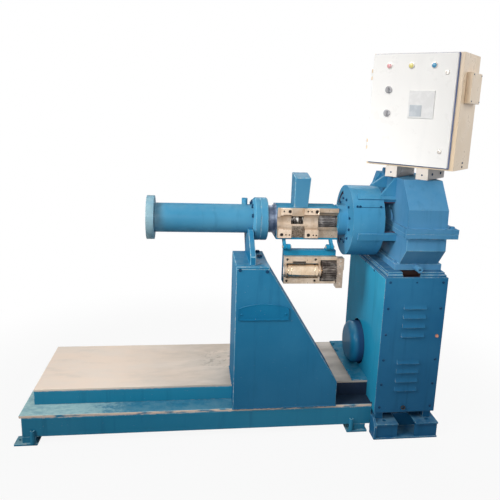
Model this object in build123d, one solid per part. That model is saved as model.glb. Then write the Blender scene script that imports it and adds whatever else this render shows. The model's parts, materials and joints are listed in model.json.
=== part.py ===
from build123d import *
import math
import os

# Roller-fed rubber extruder. Working frame, in millimetres: X runs along the barrel
# axis from the outer face of the front flange to the gearbox, Y is zero on that axis
# with the operator at minus Y, and Z is up from the floor. At the end everything is
# moved so that the origin lies on the floor under the middle of the machine.

# Clearances shared by all pieces
overrun = 6
running_gap = 0.4
swing_gap = 5

# Barrel line, from the front flange to the gearbox
axis_height = 1010
flange_radius = 103
flange_width = 35
flange_hole_radius = 7
flange_hole_circle_radius = 86
flange_hole_count = 8
barrel_radius = 69
barrel_length = 459
bore_radius = 49
nipple_radius = 14
nipple_bore_radius = 8
nipple_height = 30
nipple_setback = 37
rear_flange_width = 71
rear_flange_chamfer = 12
rear_flange_groove_depth = 2
rear_flange_groove_width = 4
neck_radius = 66
neck_length = 42
neck_flare = 12
neck_flare_length = 16

# Feed block with its guide
block_length = 301
block_front = 62
block_back = 70
block_top = 68
block_bottom = 87
saddle_reach = 18
saddle_top = 65
saddle_bottom = 77
left_saddle_start = 6
left_saddle_end = 71
left_saddle_step = 11
right_saddle_start = 130
right_saddle_end = 202
left_seat_radius = 33
left_seat_length = 29
saddle_hole_depth = 14
large_hole_radius = 9
small_hole_radius = 4.5
large_hole_places = ((60, 50), (191, 51), (24, -62), (154, -63))
small_hole_places = ((32, 51), (147, 52), (165, 52), (45, -62), (62, -63), (178, -63), (193, -64))
pocket_start = 204
feed_slot_start = 71
feed_slot_length = 60
feed_slot_bottom = 14
feed_slot_top = 26
guide_start = 82
guide_width = 77
guide_foot_width = 67
guide_front = 59
guide_depth = 103
guide_front_height = 141
guide_slope_rise = 16

# Screw and feed roller, which mesh when the roller housing is shut
centre_distance = 88
screw_radius = 48
screw_core_radius = 32
screw_pitch = 96
screw_flight_width = 12
screw_tip_inset = 24
screw_tip_length = 26
flight_end_inset = 8
shank_radius = 40
roller_radius = 32
roller_shoulder_radius = 25
journal_radius = 20
roller_band_width = 14
roller_groove_width = 3
roller_groove_depth = 1.5
gear_teeth = 24
gear_bore_radius = 27
gear_end_play = 5
half_pitch_share = 0.5
addendum_share = 1.0
dedendum_share = 1.25
tooth_root_share = 0.30
tooth_tip_share = 0.13

# Roller housing, hanging open on its hinge below the feed block
hinge_drop = 118
hinge_pin_radius = 7
hinge_pin_end = 5
ear_radius = 14
ear_foot = 28
fixed_ear_width = 14
moving_ear_width = 18
ear_side_gap = 2
left_ear_start = 33
right_ear_end = 277
housing_start = 41
frame_left_wall = 12
frame_middle_wall = 10
roller_length = 156
gear_bay_length = 79
frame_face_offset = 3
frame_depth = 25
frame_above = 71
frame_below = 65
frame_hole_radius = 6
frame_hole_inset = 15
housing_back_depth = 42
housing_back_rise = 25
cap_radius = 31
end_plate_width = 38
end_plate_lower_inset = 3
end_plate_step = 4
end_plate_proud = 4
end_plate_depth = 45
end_plate_above = 63
end_plate_below = 87

# Lantern housing between the feed block and the gearbox
hub_radius = 75
hub_length = 45
hub_bore_radius = 44
drum_radius = 172
drum_length = 152
drum_wall = 14
drum_face = 18
drum_slot_radius = 140
drum_slot_width = 16
drum_slot_span = 44
drum_slot_angle = 48
arm_length = 60
arm_angles = (50, 130, 196, -16)
arm_width = 34
arm_rise = 7
arm_thickness = 28
arm_setback = 26
rib_places = (-105, 30, 118)
rib_thickness = 18
rib_setback = 12
rib_foot_height = 16
rib_top_reach = 8
rib_top_drop = 3

# Split gearbox on its sole plate
gearbox_length = 188
casing_top_half = 199
casing_top = 228
casing_upper_half = 297
casing_upper_height = 105
casing_split_half = 302
casing_lower_half = 308
casing_lower_drop = 80
casing_bottom_half = 239
casing_bottom_drop = 159
split_flange_thickness = 22
split_flange_reach = 18
split_flange_left = 13
split_flange_right = 48
foot_flange_height = 29
foot_flange_overhang = 20
bearing_boss_radius = 110
bearing_boss_width = 10
lifting_lug_thickness = 20
lifting_lug_radius = 16
lifting_lug_hole_radius = 7
lifting_lug_height = 12
lifting_lug_offset = 90
plug_radius = 14
plug_bore_radius = 6
plug_length = 56
plug_place_share = 0.43
plug_drop = 14
sole_step = 11
sole_inset = 7
sole_notch_width = 84
sole_notch_depth = 36
sole_notch_start = 84

# Motor cabinet
cabinet_left = 78
cabinet_width = 302
cabinet_half_depth = 290
cabinet_bottom = 121
cabinet_sheet = 4
cabinet_top_thickness = 8
louvre_length = 110
louvre_height = 22
louvre_proud = 10
louvre_wall = 3
louvre_pitch = 46.5
louvre_count = 4
upper_louvre_start = 98
upper_louvre_level = 511
lower_louvre_start = 89
lower_louvre_level = 236
cowl_hole_radius = 120
cowl_radius = 110
cowl_reach = 62
cowl_rim_round = 34
cowl_clearance = 12
motor_offset = 50
motor_shaft_height = 110
motor_radius = 100
motor_length = 210
motor_foot_width = 170
shelf_thickness = 10
shelf_half_depth = 140
foot_channel_height = 80
foot_channel_depth = 110
foot_channel_wall = 8
foot_channel_proud = 42
foot_channel_start = 6
foot_channel_overhang = 13
foot_cut_start = 107
foot_cut_length = 88
foot_hole_radius = 9
foot_hole_inset = 47
foot_hole_from_front = 37
bearer_width = 40
bearer_end_inset = 10
bearer_inset = 9
end_gusset_thickness = 12
end_gusset_depth = 72
end_gusset_height = 98
end_gusset_cut = 30

# Two-tier base
base_left = 549
base_front = 252
bed_plate_thickness = 13
bed_plate_overhang = 10
base_rail_bottom = 40
base_rail_height = 93
rail_flange = 40
rail_wall = 7
table_left = 506
table_front = 158
table_back = 322
table_plate_thickness = 10
end_strip_length = 80
end_strip_thickness = 6
table_rail_height = 67
cross_member_width = 45
base_cross_shares = (0.0, 0.48, 1.0)
table_cross_shares = (0.0, 0.5, 1.0)
foot_plate_length = 102
foot_plate_width = 70
foot_plate_thickness = 10
foot_plate_overhang = 35
foot_front_overhang = 8
foot_block_length = 58
foot_anchor_radius = 6
foot_anchor_inset = 18
foot_anchor_from_front = 36
right_foot_from_end = 119

# Barrel post with its saddle
post_left = 407
post_foot_length = 495
post_top_length = 149
post_knee_height = 124
post_drop = 169
post_front = 258
post_depth = 290
post_plate = 10
post_top_plate = 12
post_side_shift = 11
saddle_thickness = 25
saddle_front_inset = 18
saddle_back_inset = 6
saddle_front_height = 40
saddle_back_height = 84
saddle_half_width = 104
saddle_top_drop = 35

# Control panel, turned towards the operator
panel_width = 426
panel_height = 509
panel_depth = 216
panel_sheet = 4
panel_turn = 44
panel_corner_x = 1047
panel_corner_y = 7
panel_rail_width = 60
panel_rail_height = 53
panel_rail_shares = (0.24, 0.60)
door_thickness = 18
door_seat_gap = 0.3
door_left = 8
door_right_margin = 24
door_bottom = 12
door_top_margin = 4
rim_width = 18
door_hinge_inset = 2
door_hinge_radius = 5
door_hinge_pin_radius = 2.5
door_hinge_leaf = 6
door_hinge_half = 24
door_hinge_knuckle_half = 8
door_hinge_gap = 1
door_hinge_lower_level = 95
door_hinge_upper_level = 415
lamp_radius = 14.5
lamp_height = 10
lamp_dome_radius = 11
lamp_shares = (0.213, 0.46, 0.709)
lamp_level = 453
selector_place = 95
selector_upper_level = 347
selector_lower_level = 242
selector_radius = 16
selector_base_height = 6
selector_grip_width = 9
selector_grip_height = 16
display_left = 198
display_width = 120
display_bottom = 224
display_height = 121
display_proud = 5
lock_margin = 40
lock_lower_level = 83
lock_upper_level = 423
lock_radius = 10
lock_height = 6
side_box_reach = 28
side_box_start = 48
side_box_length = 132
side_box_bottom = 296
side_box_height = 134

# Places along the barrel line
x_barrel = flange_width
x_rear_flange = x_barrel + barrel_length
x_neck = x_rear_flange + rear_flange_width
x_block = x_neck + neck_length
x_hub = x_block + block_length
x_drum = x_hub + hub_length
x_drum_end = x_drum + drum_length
x_gearbox = x_drum_end + arm_length
x_gearbox_end = x_gearbox + gearbox_length
x_cabinet = x_gearbox - cabinet_left
x_cabinet_end = x_cabinet + cabinet_width

# Places of the roller housing, which stands half a turn from its shut position
y_hinge = -centre_distance
z_hinge = axis_height - hinge_drop
z_roller = axis_height - 2 * hinge_drop
x_housing = x_block + housing_start
x_roller = x_housing + frame_left_wall
x_middle_wall = x_roller + roller_length
x_gear_bay = x_middle_wall + frame_middle_wall
x_end_plate = x_gear_bay + gear_bay_length
x_gear = x_gear_bay + gear_end_play
x_gear_end = x_end_plate - gear_end_play
gear_module = centre_distance / gear_teeth
gear_tip_radius = centre_distance / 2 + addendum_share * gear_module
gear_root_radius = centre_distance / 2 - dedendum_share * gear_module
groove_radius = roller_radius + swing_gap
gear_pocket_radius = gear_tip_radius + swing_gap
y_saddle = -(block_front + saddle_reach)
x_pocket = x_block + pocket_start
x_screw_gear = x_pocket + gear_end_play
y_frame = y_hinge - frame_face_offset
y_housing_back = y_frame + frame_depth
y_housing_rear = y_housing_back + housing_back_depth

# Levels of the base, the cabinet and the panel
foot_channel_front = cabinet_half_depth + foot_channel_proud
base_back = foot_channel_front - foot_front_overhang
z_bed = base_rail_bottom + base_rail_height + bed_plate_thickness
z_table = z_bed + table_rail_height + table_plate_thickness
motor_height = z_table + cowl_clearance + cowl_radius
shelf_height = motor_height - motor_shaft_height - shelf_thickness
post_top = axis_height - post_drop
z_gear_foot = axis_height - casing_bottom_drop
z_sole_top = z_gear_foot - foot_flange_height
z_cabinet_top = z_sole_top - 2 * sole_step
z_panel_rail = axis_height + casing_top
z_panel = z_panel_rail + panel_rail_height
panel_frame = Pos(panel_corner_x, panel_corner_y, z_panel) * Rot(0, 0, -panel_turn)
door_hinge_place = -door_seat_gap - door_thickness / 2
lock_place = panel_width - door_right_margin - lock_margin
panel_reach = (panel_width * math.cos(math.radians(panel_turn))
               + panel_depth * math.sin(math.radians(panel_turn)))

# The origin goes under the middle of the whole machine
x_left_end = -(base_left + foot_plate_overhang - bed_plate_overhang)
x_right_end = panel_corner_x + panel_reach
to_origin = Pos(-(x_left_end + x_right_end) / 2, 0, 0)


def slab(x0, x1, y0, y1, z0, z1):
    """A box between two corners."""
    corner = (Align.MIN, Align.MIN, Align.MIN)
    return Pos(x0, y0, z0) * Box(x1 - x0, y1 - y0, z1 - z0, align=corner)


def rod(radius, x0, x1, y=0, z=axis_height):
    """A round bar along X."""
    start = (Align.CENTER, Align.CENTER, Align.MIN)
    return Pos(x0, y, z) * Rot(0, 90, 0) * Cylinder(radius, x1 - x0, align=start)


def post_hole(radius, x, y, z0, z1):
    """A round bar standing along Z."""
    start = (Align.CENTER, Align.CENTER, Align.MIN)
    return Pos(x, y, z0) * Cylinder(radius, z1 - z0, align=start)


def pit(radius, depth, x, y, z):
    """A round bar along Y, for a hole sunk from a front face at y."""
    start = (Align.CENTER, Align.CENTER, Align.MIN)
    return Pos(x, y - overrun, z) * Rot(-90, 0, 0) * Cylinder(radius, depth + overrun, align=start)


def turned(points, y=0, z=axis_height):
    """A body turned about X from (place, radius) points that close on the axis."""
    outline = make_face(Polyline([(x, 0, r) for x, r in points], close=True))
    return Pos(0, y, z) * revolve(outline, axis=Axis.X)


def along_x(points, x0, x1):
    """A (Y, Z) outline drawn out along X."""
    outline = make_face(Polyline([(x0, y, z) for y, z in points], close=True))
    return extrude(outline, amount=x1 - x0, dir=(1, 0, 0))


def along_y(points, y0, y1):
    """An (X, Z) outline drawn out along Y."""
    outline = make_face(Polyline([(x, y0, z) for x, z in points], close=True))
    return extrude(outline, amount=y1 - y0, dir=(0, 1, 0))


def channel_x(x0, x1, y_web, inward, z0, z1):
    """A channel along X: its web stands at y_web and its flanges point inward."""
    y_tip = y_web + inward * rail_flange
    y_wall = y_web + inward * rail_wall
    return along_x([(y_web, z0), (y_tip, z0), (y_tip, z0 + rail_wall), (y_wall, z0 + rail_wall),
                    (y_wall, z1 - rail_wall), (y_tip, z1 - rail_wall), (y_tip, z1), (y_web, z1)],
                   x0, x1)


def channel_y(x_web, inward, y0, y1, z0, z1):
    """A channel along Y between two rails."""
    x_tip = x_web + inward * cross_member_width
    x_wall = x_web + inward * rail_wall
    return along_y([(x_web, z0), (x_tip, z0), (x_tip, z0 + rail_wall), (x_wall, z0 + rail_wall),
                    (x_wall, z1 - rail_wall), (x_tip, z1 - rail_wall), (x_tip, z1), (x_web, z1)],
                   y0, y1)


def gear(x0, x1, y, z, bore, first_tooth):
    """A spur gear along X with one tooth at first_tooth pitches from minus Y."""
    pitch_angle = 2 * math.pi / gear_teeth
    flanks = ((-tooth_root_share, gear_root_radius), (-tooth_tip_share, gear_tip_radius),
              (tooth_tip_share, gear_tip_radius), (tooth_root_share, gear_root_radius))
    points = []
    for tooth in range(gear_teeth):
        for share, radius in flanks:
            angle = (tooth + first_tooth + share) * pitch_angle
            points.append((y - radius * math.cos(angle), z + radius * math.sin(angle)))
    return along_x(points, x0, x1) - rod(bore, x0 - overrun, x1 + overrun, y, z)


def base_rails():
    z_top = base_rail_bottom + base_rail_height
    x_end = bed_plate_overhang - base_left
    return [channel_x(x_end, x_cabinet, -base_front, 1, base_rail_bottom, z_top),
            channel_x(x_end, x_cabinet, base_back, -1, base_rail_bottom, z_top)]


def base_cross_members():
    z_top = base_rail_bottom + base_rail_height
    first = bed_plate_overhang - base_left
    travel = x_cabinet - cross_member_width - first
    return [channel_y(first + share * travel, 1, rail_flange - base_front,
                      base_back - rail_flange, base_rail_bottom, z_top)
            for share in base_cross_shares]


def lower_bed_plate():
    return slab(-base_left, x_cabinet, -base_front, base_back, z_bed - bed_plate_thickness, z_bed)


def table_rails():
    z_top = z_bed + table_rail_height
    return [channel_x(-table_left, x_cabinet, -table_front, 1, z_bed, z_top),
            channel_x(-table_left, x_cabinet, table_back, -1, z_bed, z_top)]


def table_cross_members():
    travel = x_cabinet - cross_member_width + table_left
    return [channel_y(share * travel - table_left, 1, rail_flange - table_front,
                      table_back - rail_flange, z_bed, z_bed + table_rail_height)
            for share in table_cross_shares]


def table_plate():
    return slab(-table_left, x_cabinet, -table_front, table_back,
                z_table - table_plate_thickness, z_table)


def table_end_strip():
    return slab(x_cabinet - end_strip_length, x_cabinet, -table_front, table_back,
                z_table, z_table + end_strip_thickness)


def levelling_foot(x_tip, inward, y_front, backward):
    """A foot: a floor plate with an anchor hole, and a block up to the rail above it."""
    def spot(along, across):
        return x_tip + inward * along, y_front + backward * across

    def pad(start, length, across0, across1, z0, z1):
        xa, ya = spot(start, across0)
        xb, yb = spot(start + length, across1)
        return slab(min(xa, xb), max(xa, xb), min(ya, yb), max(ya, yb), z0, z1)

    plate = pad(0, foot_plate_length, 0, foot_plate_width, 0, foot_plate_thickness)
    block = pad(foot_plate_overhang, foot_block_length, foot_front_overhang,
                foot_front_overhang + rail_flange, foot_plate_thickness, base_rail_bottom)
    x, y = spot(foot_anchor_inset, foot_anchor_from_front)
    return plate + block - post_hole(foot_anchor_radius, x, y, -overrun, base_rail_bottom)


def levelling_feet():
    feet = []
    for y_front, backward in ((-base_front - foot_front_overhang, 1),
                              (base_back + foot_front_overhang, -1)):
        feet.append(levelling_foot(x_left_end, 1, y_front, backward))
        feet.append(levelling_foot(x_cabinet - right_foot_from_end, 1, y_front, backward))
    return feet


def post_outline(shift=0):
    x_foot = post_left + post_foot_length - shift
    z_plate = post_top - post_top_plate
    return [(post_left, z_bed), (x_foot, z_bed), (x_foot, z_bed + post_knee_height),
            (post_left + post_top_length - shift, z_plate), (post_left, z_plate)]


def over_table(shape):
    """The shape with the place of the table tier cut out of it."""
    return shape - slab(-table_left, x_cabinet, -table_front, table_back, 0, z_table)


def post_face_plates():
    y_back = post_depth - post_front
    return [along_y(post_outline(), -post_front, post_plate - post_front),
            over_table(along_y(post_outline(), y_back - post_plate, y_back))]


def post_side_plates():
    y0 = post_plate - post_front
    y1 = post_depth - post_front - post_plate
    whole = along_y(post_outline(), y0, y1)
    slanted = whole - along_y(post_outline(post_side_shift), y0 - overrun, y1 + overrun)
    left = slab(post_left, post_left + post_plate, y0, y1, z_bed, post_top - post_top_plate)
    return [over_table(left), over_table(slanted)]


def post_top_plate_piece():
    return slab(post_left, post_left + post_top_length, -post_front, post_depth - post_front,
                post_top - post_top_plate, post_top)


def barrel_saddle():
    y0 = saddle_front_inset - post_front
    y1 = post_depth - post_front - saddle_back_inset
    z1 = axis_height - saddle_top_drop
    plate = along_x([(y0, post_top), (y0, post_top + saddle_front_height),
                     (-saddle_half_width, z1), (saddle_half_width, z1),
                     (saddle_half_width, post_top + saddle_back_height), (y1, post_top)],
                    x_rear_flange - saddle_thickness, x_rear_flange)
    return plate - rod(barrel_radius, x_barrel, x_neck)


def barrel():
    tube = rod(barrel_radius, x_barrel, x_rear_flange)
    x_nipple = x_rear_flange - nipple_setback
    z_tip = axis_height + barrel_radius + nipple_height
    tube += post_hole(nipple_radius, x_nipple, 0, axis_height + bore_radius, z_tip)
    tube -= rod(bore_radius, x_barrel - overrun, x_rear_flange + overrun)
    return tube - post_hole(nipple_bore_radius, x_nipple, 0, axis_height, z_tip + overrun)


def barrel_front_flange():
    disc = rod(flange_radius, 0, flange_width) - rod(bore_radius, -overrun, flange_width + overrun)
    for number in range(flange_hole_count):
        angle = 2 * math.pi * (number + half_pitch_share) / flange_hole_count
        disc -= rod(flange_hole_radius, -overrun, flange_width + overrun,
                    flange_hole_circle_radius * math.cos(angle),
                    axis_height + flange_hole_circle_radius * math.sin(angle))
    return disc


def barrel_rear_flange():
    x0, x1 = x_rear_flange, x_neck
    x_groove = (x0 + x1) / 2
    half = rear_flange_groove_width / 2
    floor = flange_radius - rear_flange_groove_depth
    return turned([(x0, bore_radius), (x0, flange_radius - rear_flange_chamfer),
                   (x0 + rear_flange_chamfer, flange_radius), (x_groove - half, flange_radius),
                   (x_groove - half, floor), (x_groove + half, floor),
                   (x_groove + half, flange_radius), (x1 - rear_flange_groove_width, flange_radius),
                   (x1, flange_radius - rear_flange_groove_width), (x1, bore_radius)])


def feed_neck():
    return turned([(x_neck, bore_radius), (x_neck, neck_radius),
                   (x_block - neck_flare_length, neck_radius),
                   (x_block, neck_radius + neck_flare), (x_block, bore_radius)])


def ear(x0, x1, seat_front, seat_back, z_seat):
    """A hinge ear round the pin, drawn out to a seat between two Y places."""
    lean = 1 if z_seat > z_hinge else -1
    shank = along_x([(y_hinge - ear_radius, z_hinge), (seat_front, z_seat), (seat_back, z_seat),
                     (y_hinge + ear_radius * math.cos(math.pi / 4),
                      z_hinge - lean * ear_radius * math.sin(math.pi / 4))], x0, x1)
    return shank + rod(ear_radius, x0, x1, y_hinge, z_hinge)


def fixed_ear_spans():
    left = x_block + left_ear_start
    right = x_block + right_ear_end
    return [(left, left + fixed_ear_width), (right - fixed_ear_width, right)]


def moving_ear_spans():
    (_, left), (right, _) = fixed_ear_spans()
    return [(left + ear_side_gap, left + ear_side_gap + moving_ear_width),
            (right - ear_side_gap - moving_ear_width, right - ear_side_gap)]


def feed_block():
    block = slab(x_block, x_hub, -block_front, block_back,
                 axis_height - block_bottom, axis_height + block_top)
    for start, end, step in ((left_saddle_start, left_saddle_end, left_saddle_step),
                             (right_saddle_start, right_saddle_end, 0)):
        block += slab(x_block + start, x_block + end, y_saddle, -block_front,
                      axis_height - saddle_bottom, axis_height)
        block += slab(x_block + start + step, x_block + end, y_saddle, -block_front,
                      axis_height, axis_height + saddle_top)
    for radius, places in ((large_hole_radius, large_hole_places),
                           (small_hole_radius, small_hole_places)):
        for along, rise in places:
            block -= pit(radius, saddle_hole_depth, x_block + along, y_saddle, axis_height + rise)
    for x0, x1 in fixed_ear_spans():
        block += ear(x0, x1, -block_front, ear_foot - block_front, axis_height - block_bottom)
        block -= rod(hinge_pin_radius, x0 - overrun, x1 + overrun, y_hinge, z_hinge)
    x_seat_end = x_block + left_seat_length
    block -= rod(bore_radius, x_block - overrun, x_pocket)
    block -= rod(gear_pocket_radius, x_pocket, x_hub + overrun)
    block -= rod(left_seat_radius, x_block - overrun, x_seat_end, y_hinge)
    block -= rod(groove_radius, x_seat_end, x_pocket, y_hinge)
    block -= rod(gear_pocket_radius, x_pocket, x_hub + overrun, y_hinge)
    x_slot = x_block + feed_slot_start
    return block - slab(x_slot, x_slot + feed_slot_length, -centre_distance, 0,
                        axis_height - feed_slot_bottom, axis_height + feed_slot_top)


def feed_guide():
    z0 = axis_height + block_top
    z1 = z0 + guide_front_height
    x0 = x_block + guide_start
    y1 = guide_depth - guide_front
    z_back = z1 + guide_slope_rise
    guide = along_x([(-guide_front, z0), (-guide_front, z1), (y1, z_back), (y1, z0)],
                    x0, x0 + guide_width)
    return guide & along_y([(x0, z0), (x0 + guide_foot_width, z0), (x0 + guide_width, z_back), (x0, z_back)],
                           -guide_front, y1)


def hinge_pin():
    (start, _), (_, end) = fixed_ear_spans()
    (_, left), (right, _) = moving_ear_spans()
    return [rod(hinge_pin_radius, start - hinge_pin_end, left + hinge_pin_end, y_hinge, z_hinge),
            rod(hinge_pin_radius, right - hinge_pin_end, end + hinge_pin_end, y_hinge, z_hinge)]


def roller_frame():
    frame = slab(x_housing, x_end_plate, y_frame, y_housing_back,
                 z_roller - frame_below, z_roller + frame_above)
    half = roller_radius + swing_gap
    frame -= slab(x_roller, x_middle_wall, y_frame - overrun, y_housing_back + overrun,
                  z_roller - half, z_roller + half)
    half = gear_tip_radius + swing_gap
    frame -= slab(x_gear_bay, x_end_plate + overrun, y_frame - overrun, y_housing_back + overrun,
                  z_roller - half, z_roller + half)
    frame -= rod(journal_radius + running_gap, x_housing - overrun, x_gear_bay, y_hinge, z_roller)
    for x in (x_housing + frame_hole_inset, x_middle_wall - frame_hole_inset):
        for z in (z_roller + frame_above - frame_hole_inset,
                  z_roller - frame_below + frame_hole_inset):
            frame -= pit(frame_hole_radius, frame_depth + overrun, x, y_frame, z)
    return frame


def roller_housing_back():
    z_top = z_roller + frame_above + housing_back_rise
    back = slab(x_housing, x_end_plate, y_housing_back, y_housing_rear,
                z_roller - frame_below, z_top)
    back -= rod(roller_radius + swing_gap, x_roller, x_middle_wall, y_hinge, z_roller)
    back -= rod(gear_tip_radius + swing_gap, x_gear_bay, x_end_plate + overrun, y_hinge, z_roller)
    for x0, x1 in moving_ear_spans():
        back += ear(x0, x1, y_housing_back, y_housing_back + ear_foot, z_top)
        back -= rod(hinge_pin_radius + running_gap, x0 - overrun, x1 + overrun, y_hinge, z_hinge)
    return back


def roller_bearing_caps():
    caps = []
    for x0, x1 in ((x_housing, x_roller), (x_middle_wall, x_gear_bay)):
        ring = rod(cap_radius, x0, x1, y_hinge, z_roller)
        ring -= rod(journal_radius + running_gap, x0 - overrun, x1 + overrun, y_hinge, z_roller)
        caps.append(ring - slab(x0 - overrun, x1 + overrun, y_frame, y_frame + 2 * cap_radius,
                                z_roller - 2 * cap_radius, z_roller + 2 * cap_radius))
    return caps


def roller_end_plate():
    y0 = y_frame - end_plate_proud
    y1 = y0 + end_plate_depth
    x0, x1 = x_end_plate, x_end_plate + end_plate_width
    z_step = z_roller + end_plate_step
    upper = slab(x0, x1, y0, y1, z_step, z_roller + end_plate_above)
    return upper + slab(x0 + end_plate_lower_inset, x1 - end_plate_lower_inset, y0, y1,
                        z_roller - end_plate_below, z_step)


def feed_roller():
    x_body, x_body_end = x_roller + swing_gap, x_middle_wall - swing_gap
    x_left, x_right = x_body + roller_band_width, x_body_end - roller_band_width
    floor = roller_radius - roller_groove_depth
    return turned([(x_housing, 0), (x_housing, journal_radius), (x_roller, journal_radius),
                   (x_roller, roller_shoulder_radius), (x_body, roller_shoulder_radius),
                   (x_body, roller_radius), (x_left, roller_radius), (x_left, floor),
                   (x_left + roller_groove_width, floor),
                   (x_left + roller_groove_width, roller_radius),
                   (x_right - roller_groove_width, roller_radius),
                   (x_right - roller_groove_width, floor), (x_right, floor),
                   (x_right, roller_radius), (x_body_end, roller_radius),
                   (x_body_end, roller_shoulder_radius), (x_middle_wall, roller_shoulder_radius),
                   (x_middle_wall, journal_radius), (x_gear_bay, journal_radius),
                   (x_gear, gear_bore_radius), (x_gear_end, gear_bore_radius), (x_gear_end, 0)],
                  y_hinge, z_roller)


def roller_gear():
    return gear(x_gear, x_gear_end, y_hinge, z_roller, gear_bore_radius, half_pitch_share)


def screw():
    x_tip = screw_tip_inset
    x_flight, x_flight_end = x_tip + screw_tip_length, x_pocket - flight_end_inset
    core = turned([(x_tip, 0), (x_flight, screw_core_radius), (x_gear_end, screw_core_radius),
                   (x_hub, shank_radius), (x_gearbox + bearing_boss_width, shank_radius),
                   (x_gearbox + bearing_boss_width, 0)])
    middle = (screw_core_radius + screw_radius) / 2
    thread = Helix(screw_pitch, x_flight_end - x_flight - screw_flight_width, middle,
                   center=(x_flight + screw_flight_width / 2, 0, axis_height), direction=(1, 0, 0))
    start = Plane(origin=thread @ 0, x_dir=(thread @ 0) - Vector(x_flight + screw_flight_width / 2,
                                                                 0, axis_height), z_dir=thread % 0)
    height = screw_radius - screw_core_radius + overrun
    section = start * Pos(-overrun / 2, 0) * Rectangle(height, screw_flight_width)
    return core + sweep(section, path=thread, is_frenet=True)


def screw_gear():
    return gear(x_screw_gear, x_gear_end, 0, axis_height, screw_core_radius, 0)


def lantern_housing():
    x_face_back = x_drum + drum_face
    drum = turned([(x_hub, hub_bore_radius), (x_hub, hub_radius), (x_drum, hub_radius),
                   (x_drum, drum_radius), (x_drum_end, drum_radius),
                   (x_drum_end, drum_radius - drum_wall), (x_face_back, drum_radius - drum_wall),
                   (x_face_back, hub_bore_radius)])
    inner = drum_radius + arm_rise - arm_thickness
    outer = drum_radius + arm_rise
    pieces = []
    for angle in arm_angles:
        arm = slab(x_drum + arm_setback, x_gearbox, -arm_width / 2, arm_width / 2, inner, outer)
        arm -= rod(drum_radius - drum_wall, x_face_back, x_drum_end, 0, 0)
        pieces.append(Pos(0, 0, axis_height) * Rot(90 - angle, 0, 0) * arm)
    z_rib_top = axis_height + casing_top - rib_top_drop
    for place in rib_places:
        z_foot = axis_height + math.sqrt((drum_radius - drum_wall / 2) ** 2 - place ** 2)
        x_foot = x_drum_end - rib_setback
        rib = along_y([(x_foot, z_foot), (x_gearbox, z_foot), (x_gearbox, z_rib_top),
                       (x_gearbox - rib_top_reach, z_rib_top), (x_foot, z_foot + rib_foot_height)],
                      place - rib_thickness / 2, place + rib_thickness / 2)
        pieces.append(rib)
    drum = drum.fuse(*pieces)
    for side in (1, -1):
        slot = rod(drum_slot_radius + drum_slot_width / 2, x_drum - overrun, x_face_back + overrun)
        slot -= rod(drum_slot_radius - drum_slot_width / 2, x_drum - overrun, x_face_back + overrun)
        reach = 2 * drum_radius
        half = math.radians(drum_slot_span / 2)
        wedge = along_x([(0, 0), (reach * math.cos(half), -reach * math.sin(half)),
                         (reach * math.cos(half), reach * math.sin(half))],
                        x_drum - overrun, x_face_back + overrun)
        drum -= slot & (Pos(0, 0, axis_height) * Rot(side * drum_slot_angle, 0, 0) * wedge)
    return drum


def casing_half(upward):
    """One half of the gearbox casing, with its share of the split flange and the boss."""
    if upward > 0:
        corners = [(casing_split_half, 0), (casing_upper_half, casing_upper_height),
                   (casing_top_half, casing_top)]
    else:
        corners = [(casing_split_half, 0), (casing_lower_half, -casing_lower_drop),
                   (casing_bottom_half, -casing_bottom_drop)]
    points = [(-y, axis_height + z) for y, z in corners]
    points += [(y, axis_height + z) for y, z in reversed(corners)]
    half = along_x(points, x_gearbox, x_gearbox_end)
    z_edge = axis_height + upward * split_flange_thickness
    reach = casing_split_half + split_flange_reach
    half += slab(x_gearbox - split_flange_left, x_gearbox_end + split_flange_right, -reach, reach,
                 min(axis_height, z_edge), max(axis_height, z_edge))
    z_far = axis_height + upward * 2 * bearing_boss_radius
    boss = rod(bearing_boss_radius, x_gearbox - bearing_boss_width, x_gearbox)
    half += boss & slab(x_gearbox - bearing_boss_width, x_gearbox, -bearing_boss_radius,
                        bearing_boss_radius, min(axis_height, z_far), max(axis_height, z_far))
    return half - rod(shank_radius + running_gap, x_gearbox - split_flange_left - overrun,
                      x_gearbox + 2 * bearing_boss_width)


def gearbox_lower_casing():
    foot = slab(x_gearbox - foot_flange_overhang, x_gearbox_end + foot_flange_overhang,
                -casing_bottom_half, casing_bottom_half, z_sole_top, z_gear_foot)
    return casing_half(-1) + foot


def gearbox_upper_casing():
    x0 = x_gearbox
    x1 = x0 + lifting_lug_thickness
    z0 = axis_height + casing_top
    lug = slab(x0, x1, lifting_lug_offset - lifting_lug_radius,
               lifting_lug_offset + lifting_lug_radius, z0, z0 + lifting_lug_height)
    lug += rod(lifting_lug_radius, x0, x1, lifting_lug_offset, z0 + lifting_lug_height)
    lug -= slab(x0, x1, lifting_lug_offset - lifting_lug_radius,
                lifting_lug_offset + lifting_lug_radius, z0 - lifting_lug_radius, z0)
    lug -= rod(lifting_lug_hole_radius, x0 - overrun, x1 + overrun, lifting_lug_offset,
               z0 + lifting_lug_height)
    return casing_half(1) + lug


def drain_plug():
    x = x_gearbox + plug_place_share * gearbox_length
    plug = Pos(x, -casing_bottom_half, z_gear_foot - plug_drop) * Rot(90, 0, 0)
    start = (Align.CENTER, Align.CENTER, Align.MIN)
    tube = Cylinder(plug_radius, plug_length, align=start)
    tube -= Pos(0, 0, plug_length / 2) * Cylinder(plug_bore_radius, plug_length, align=start)
    return plug * tube


def sole_plate():
    def layer(inset, z0):
        half = cabinet_half_depth + cabinet_sheet - inset
        return slab(x_cabinet + inset, x_cabinet_end - inset, -half, half, z0, z0 + sole_step)

    plate = layer(sole_inset, z_cabinet_top) + layer(2 * sole_inset, z_cabinet_top + sole_step)
    x0 = x_cabinet + sole_notch_start
    y0 = -(cabinet_half_depth + overrun)
    return plate - slab(x0, x0 + sole_notch_width, y0, y0 + sole_notch_depth,
                        z_cabinet_top - overrun, z_sole_top + overrun)


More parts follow.
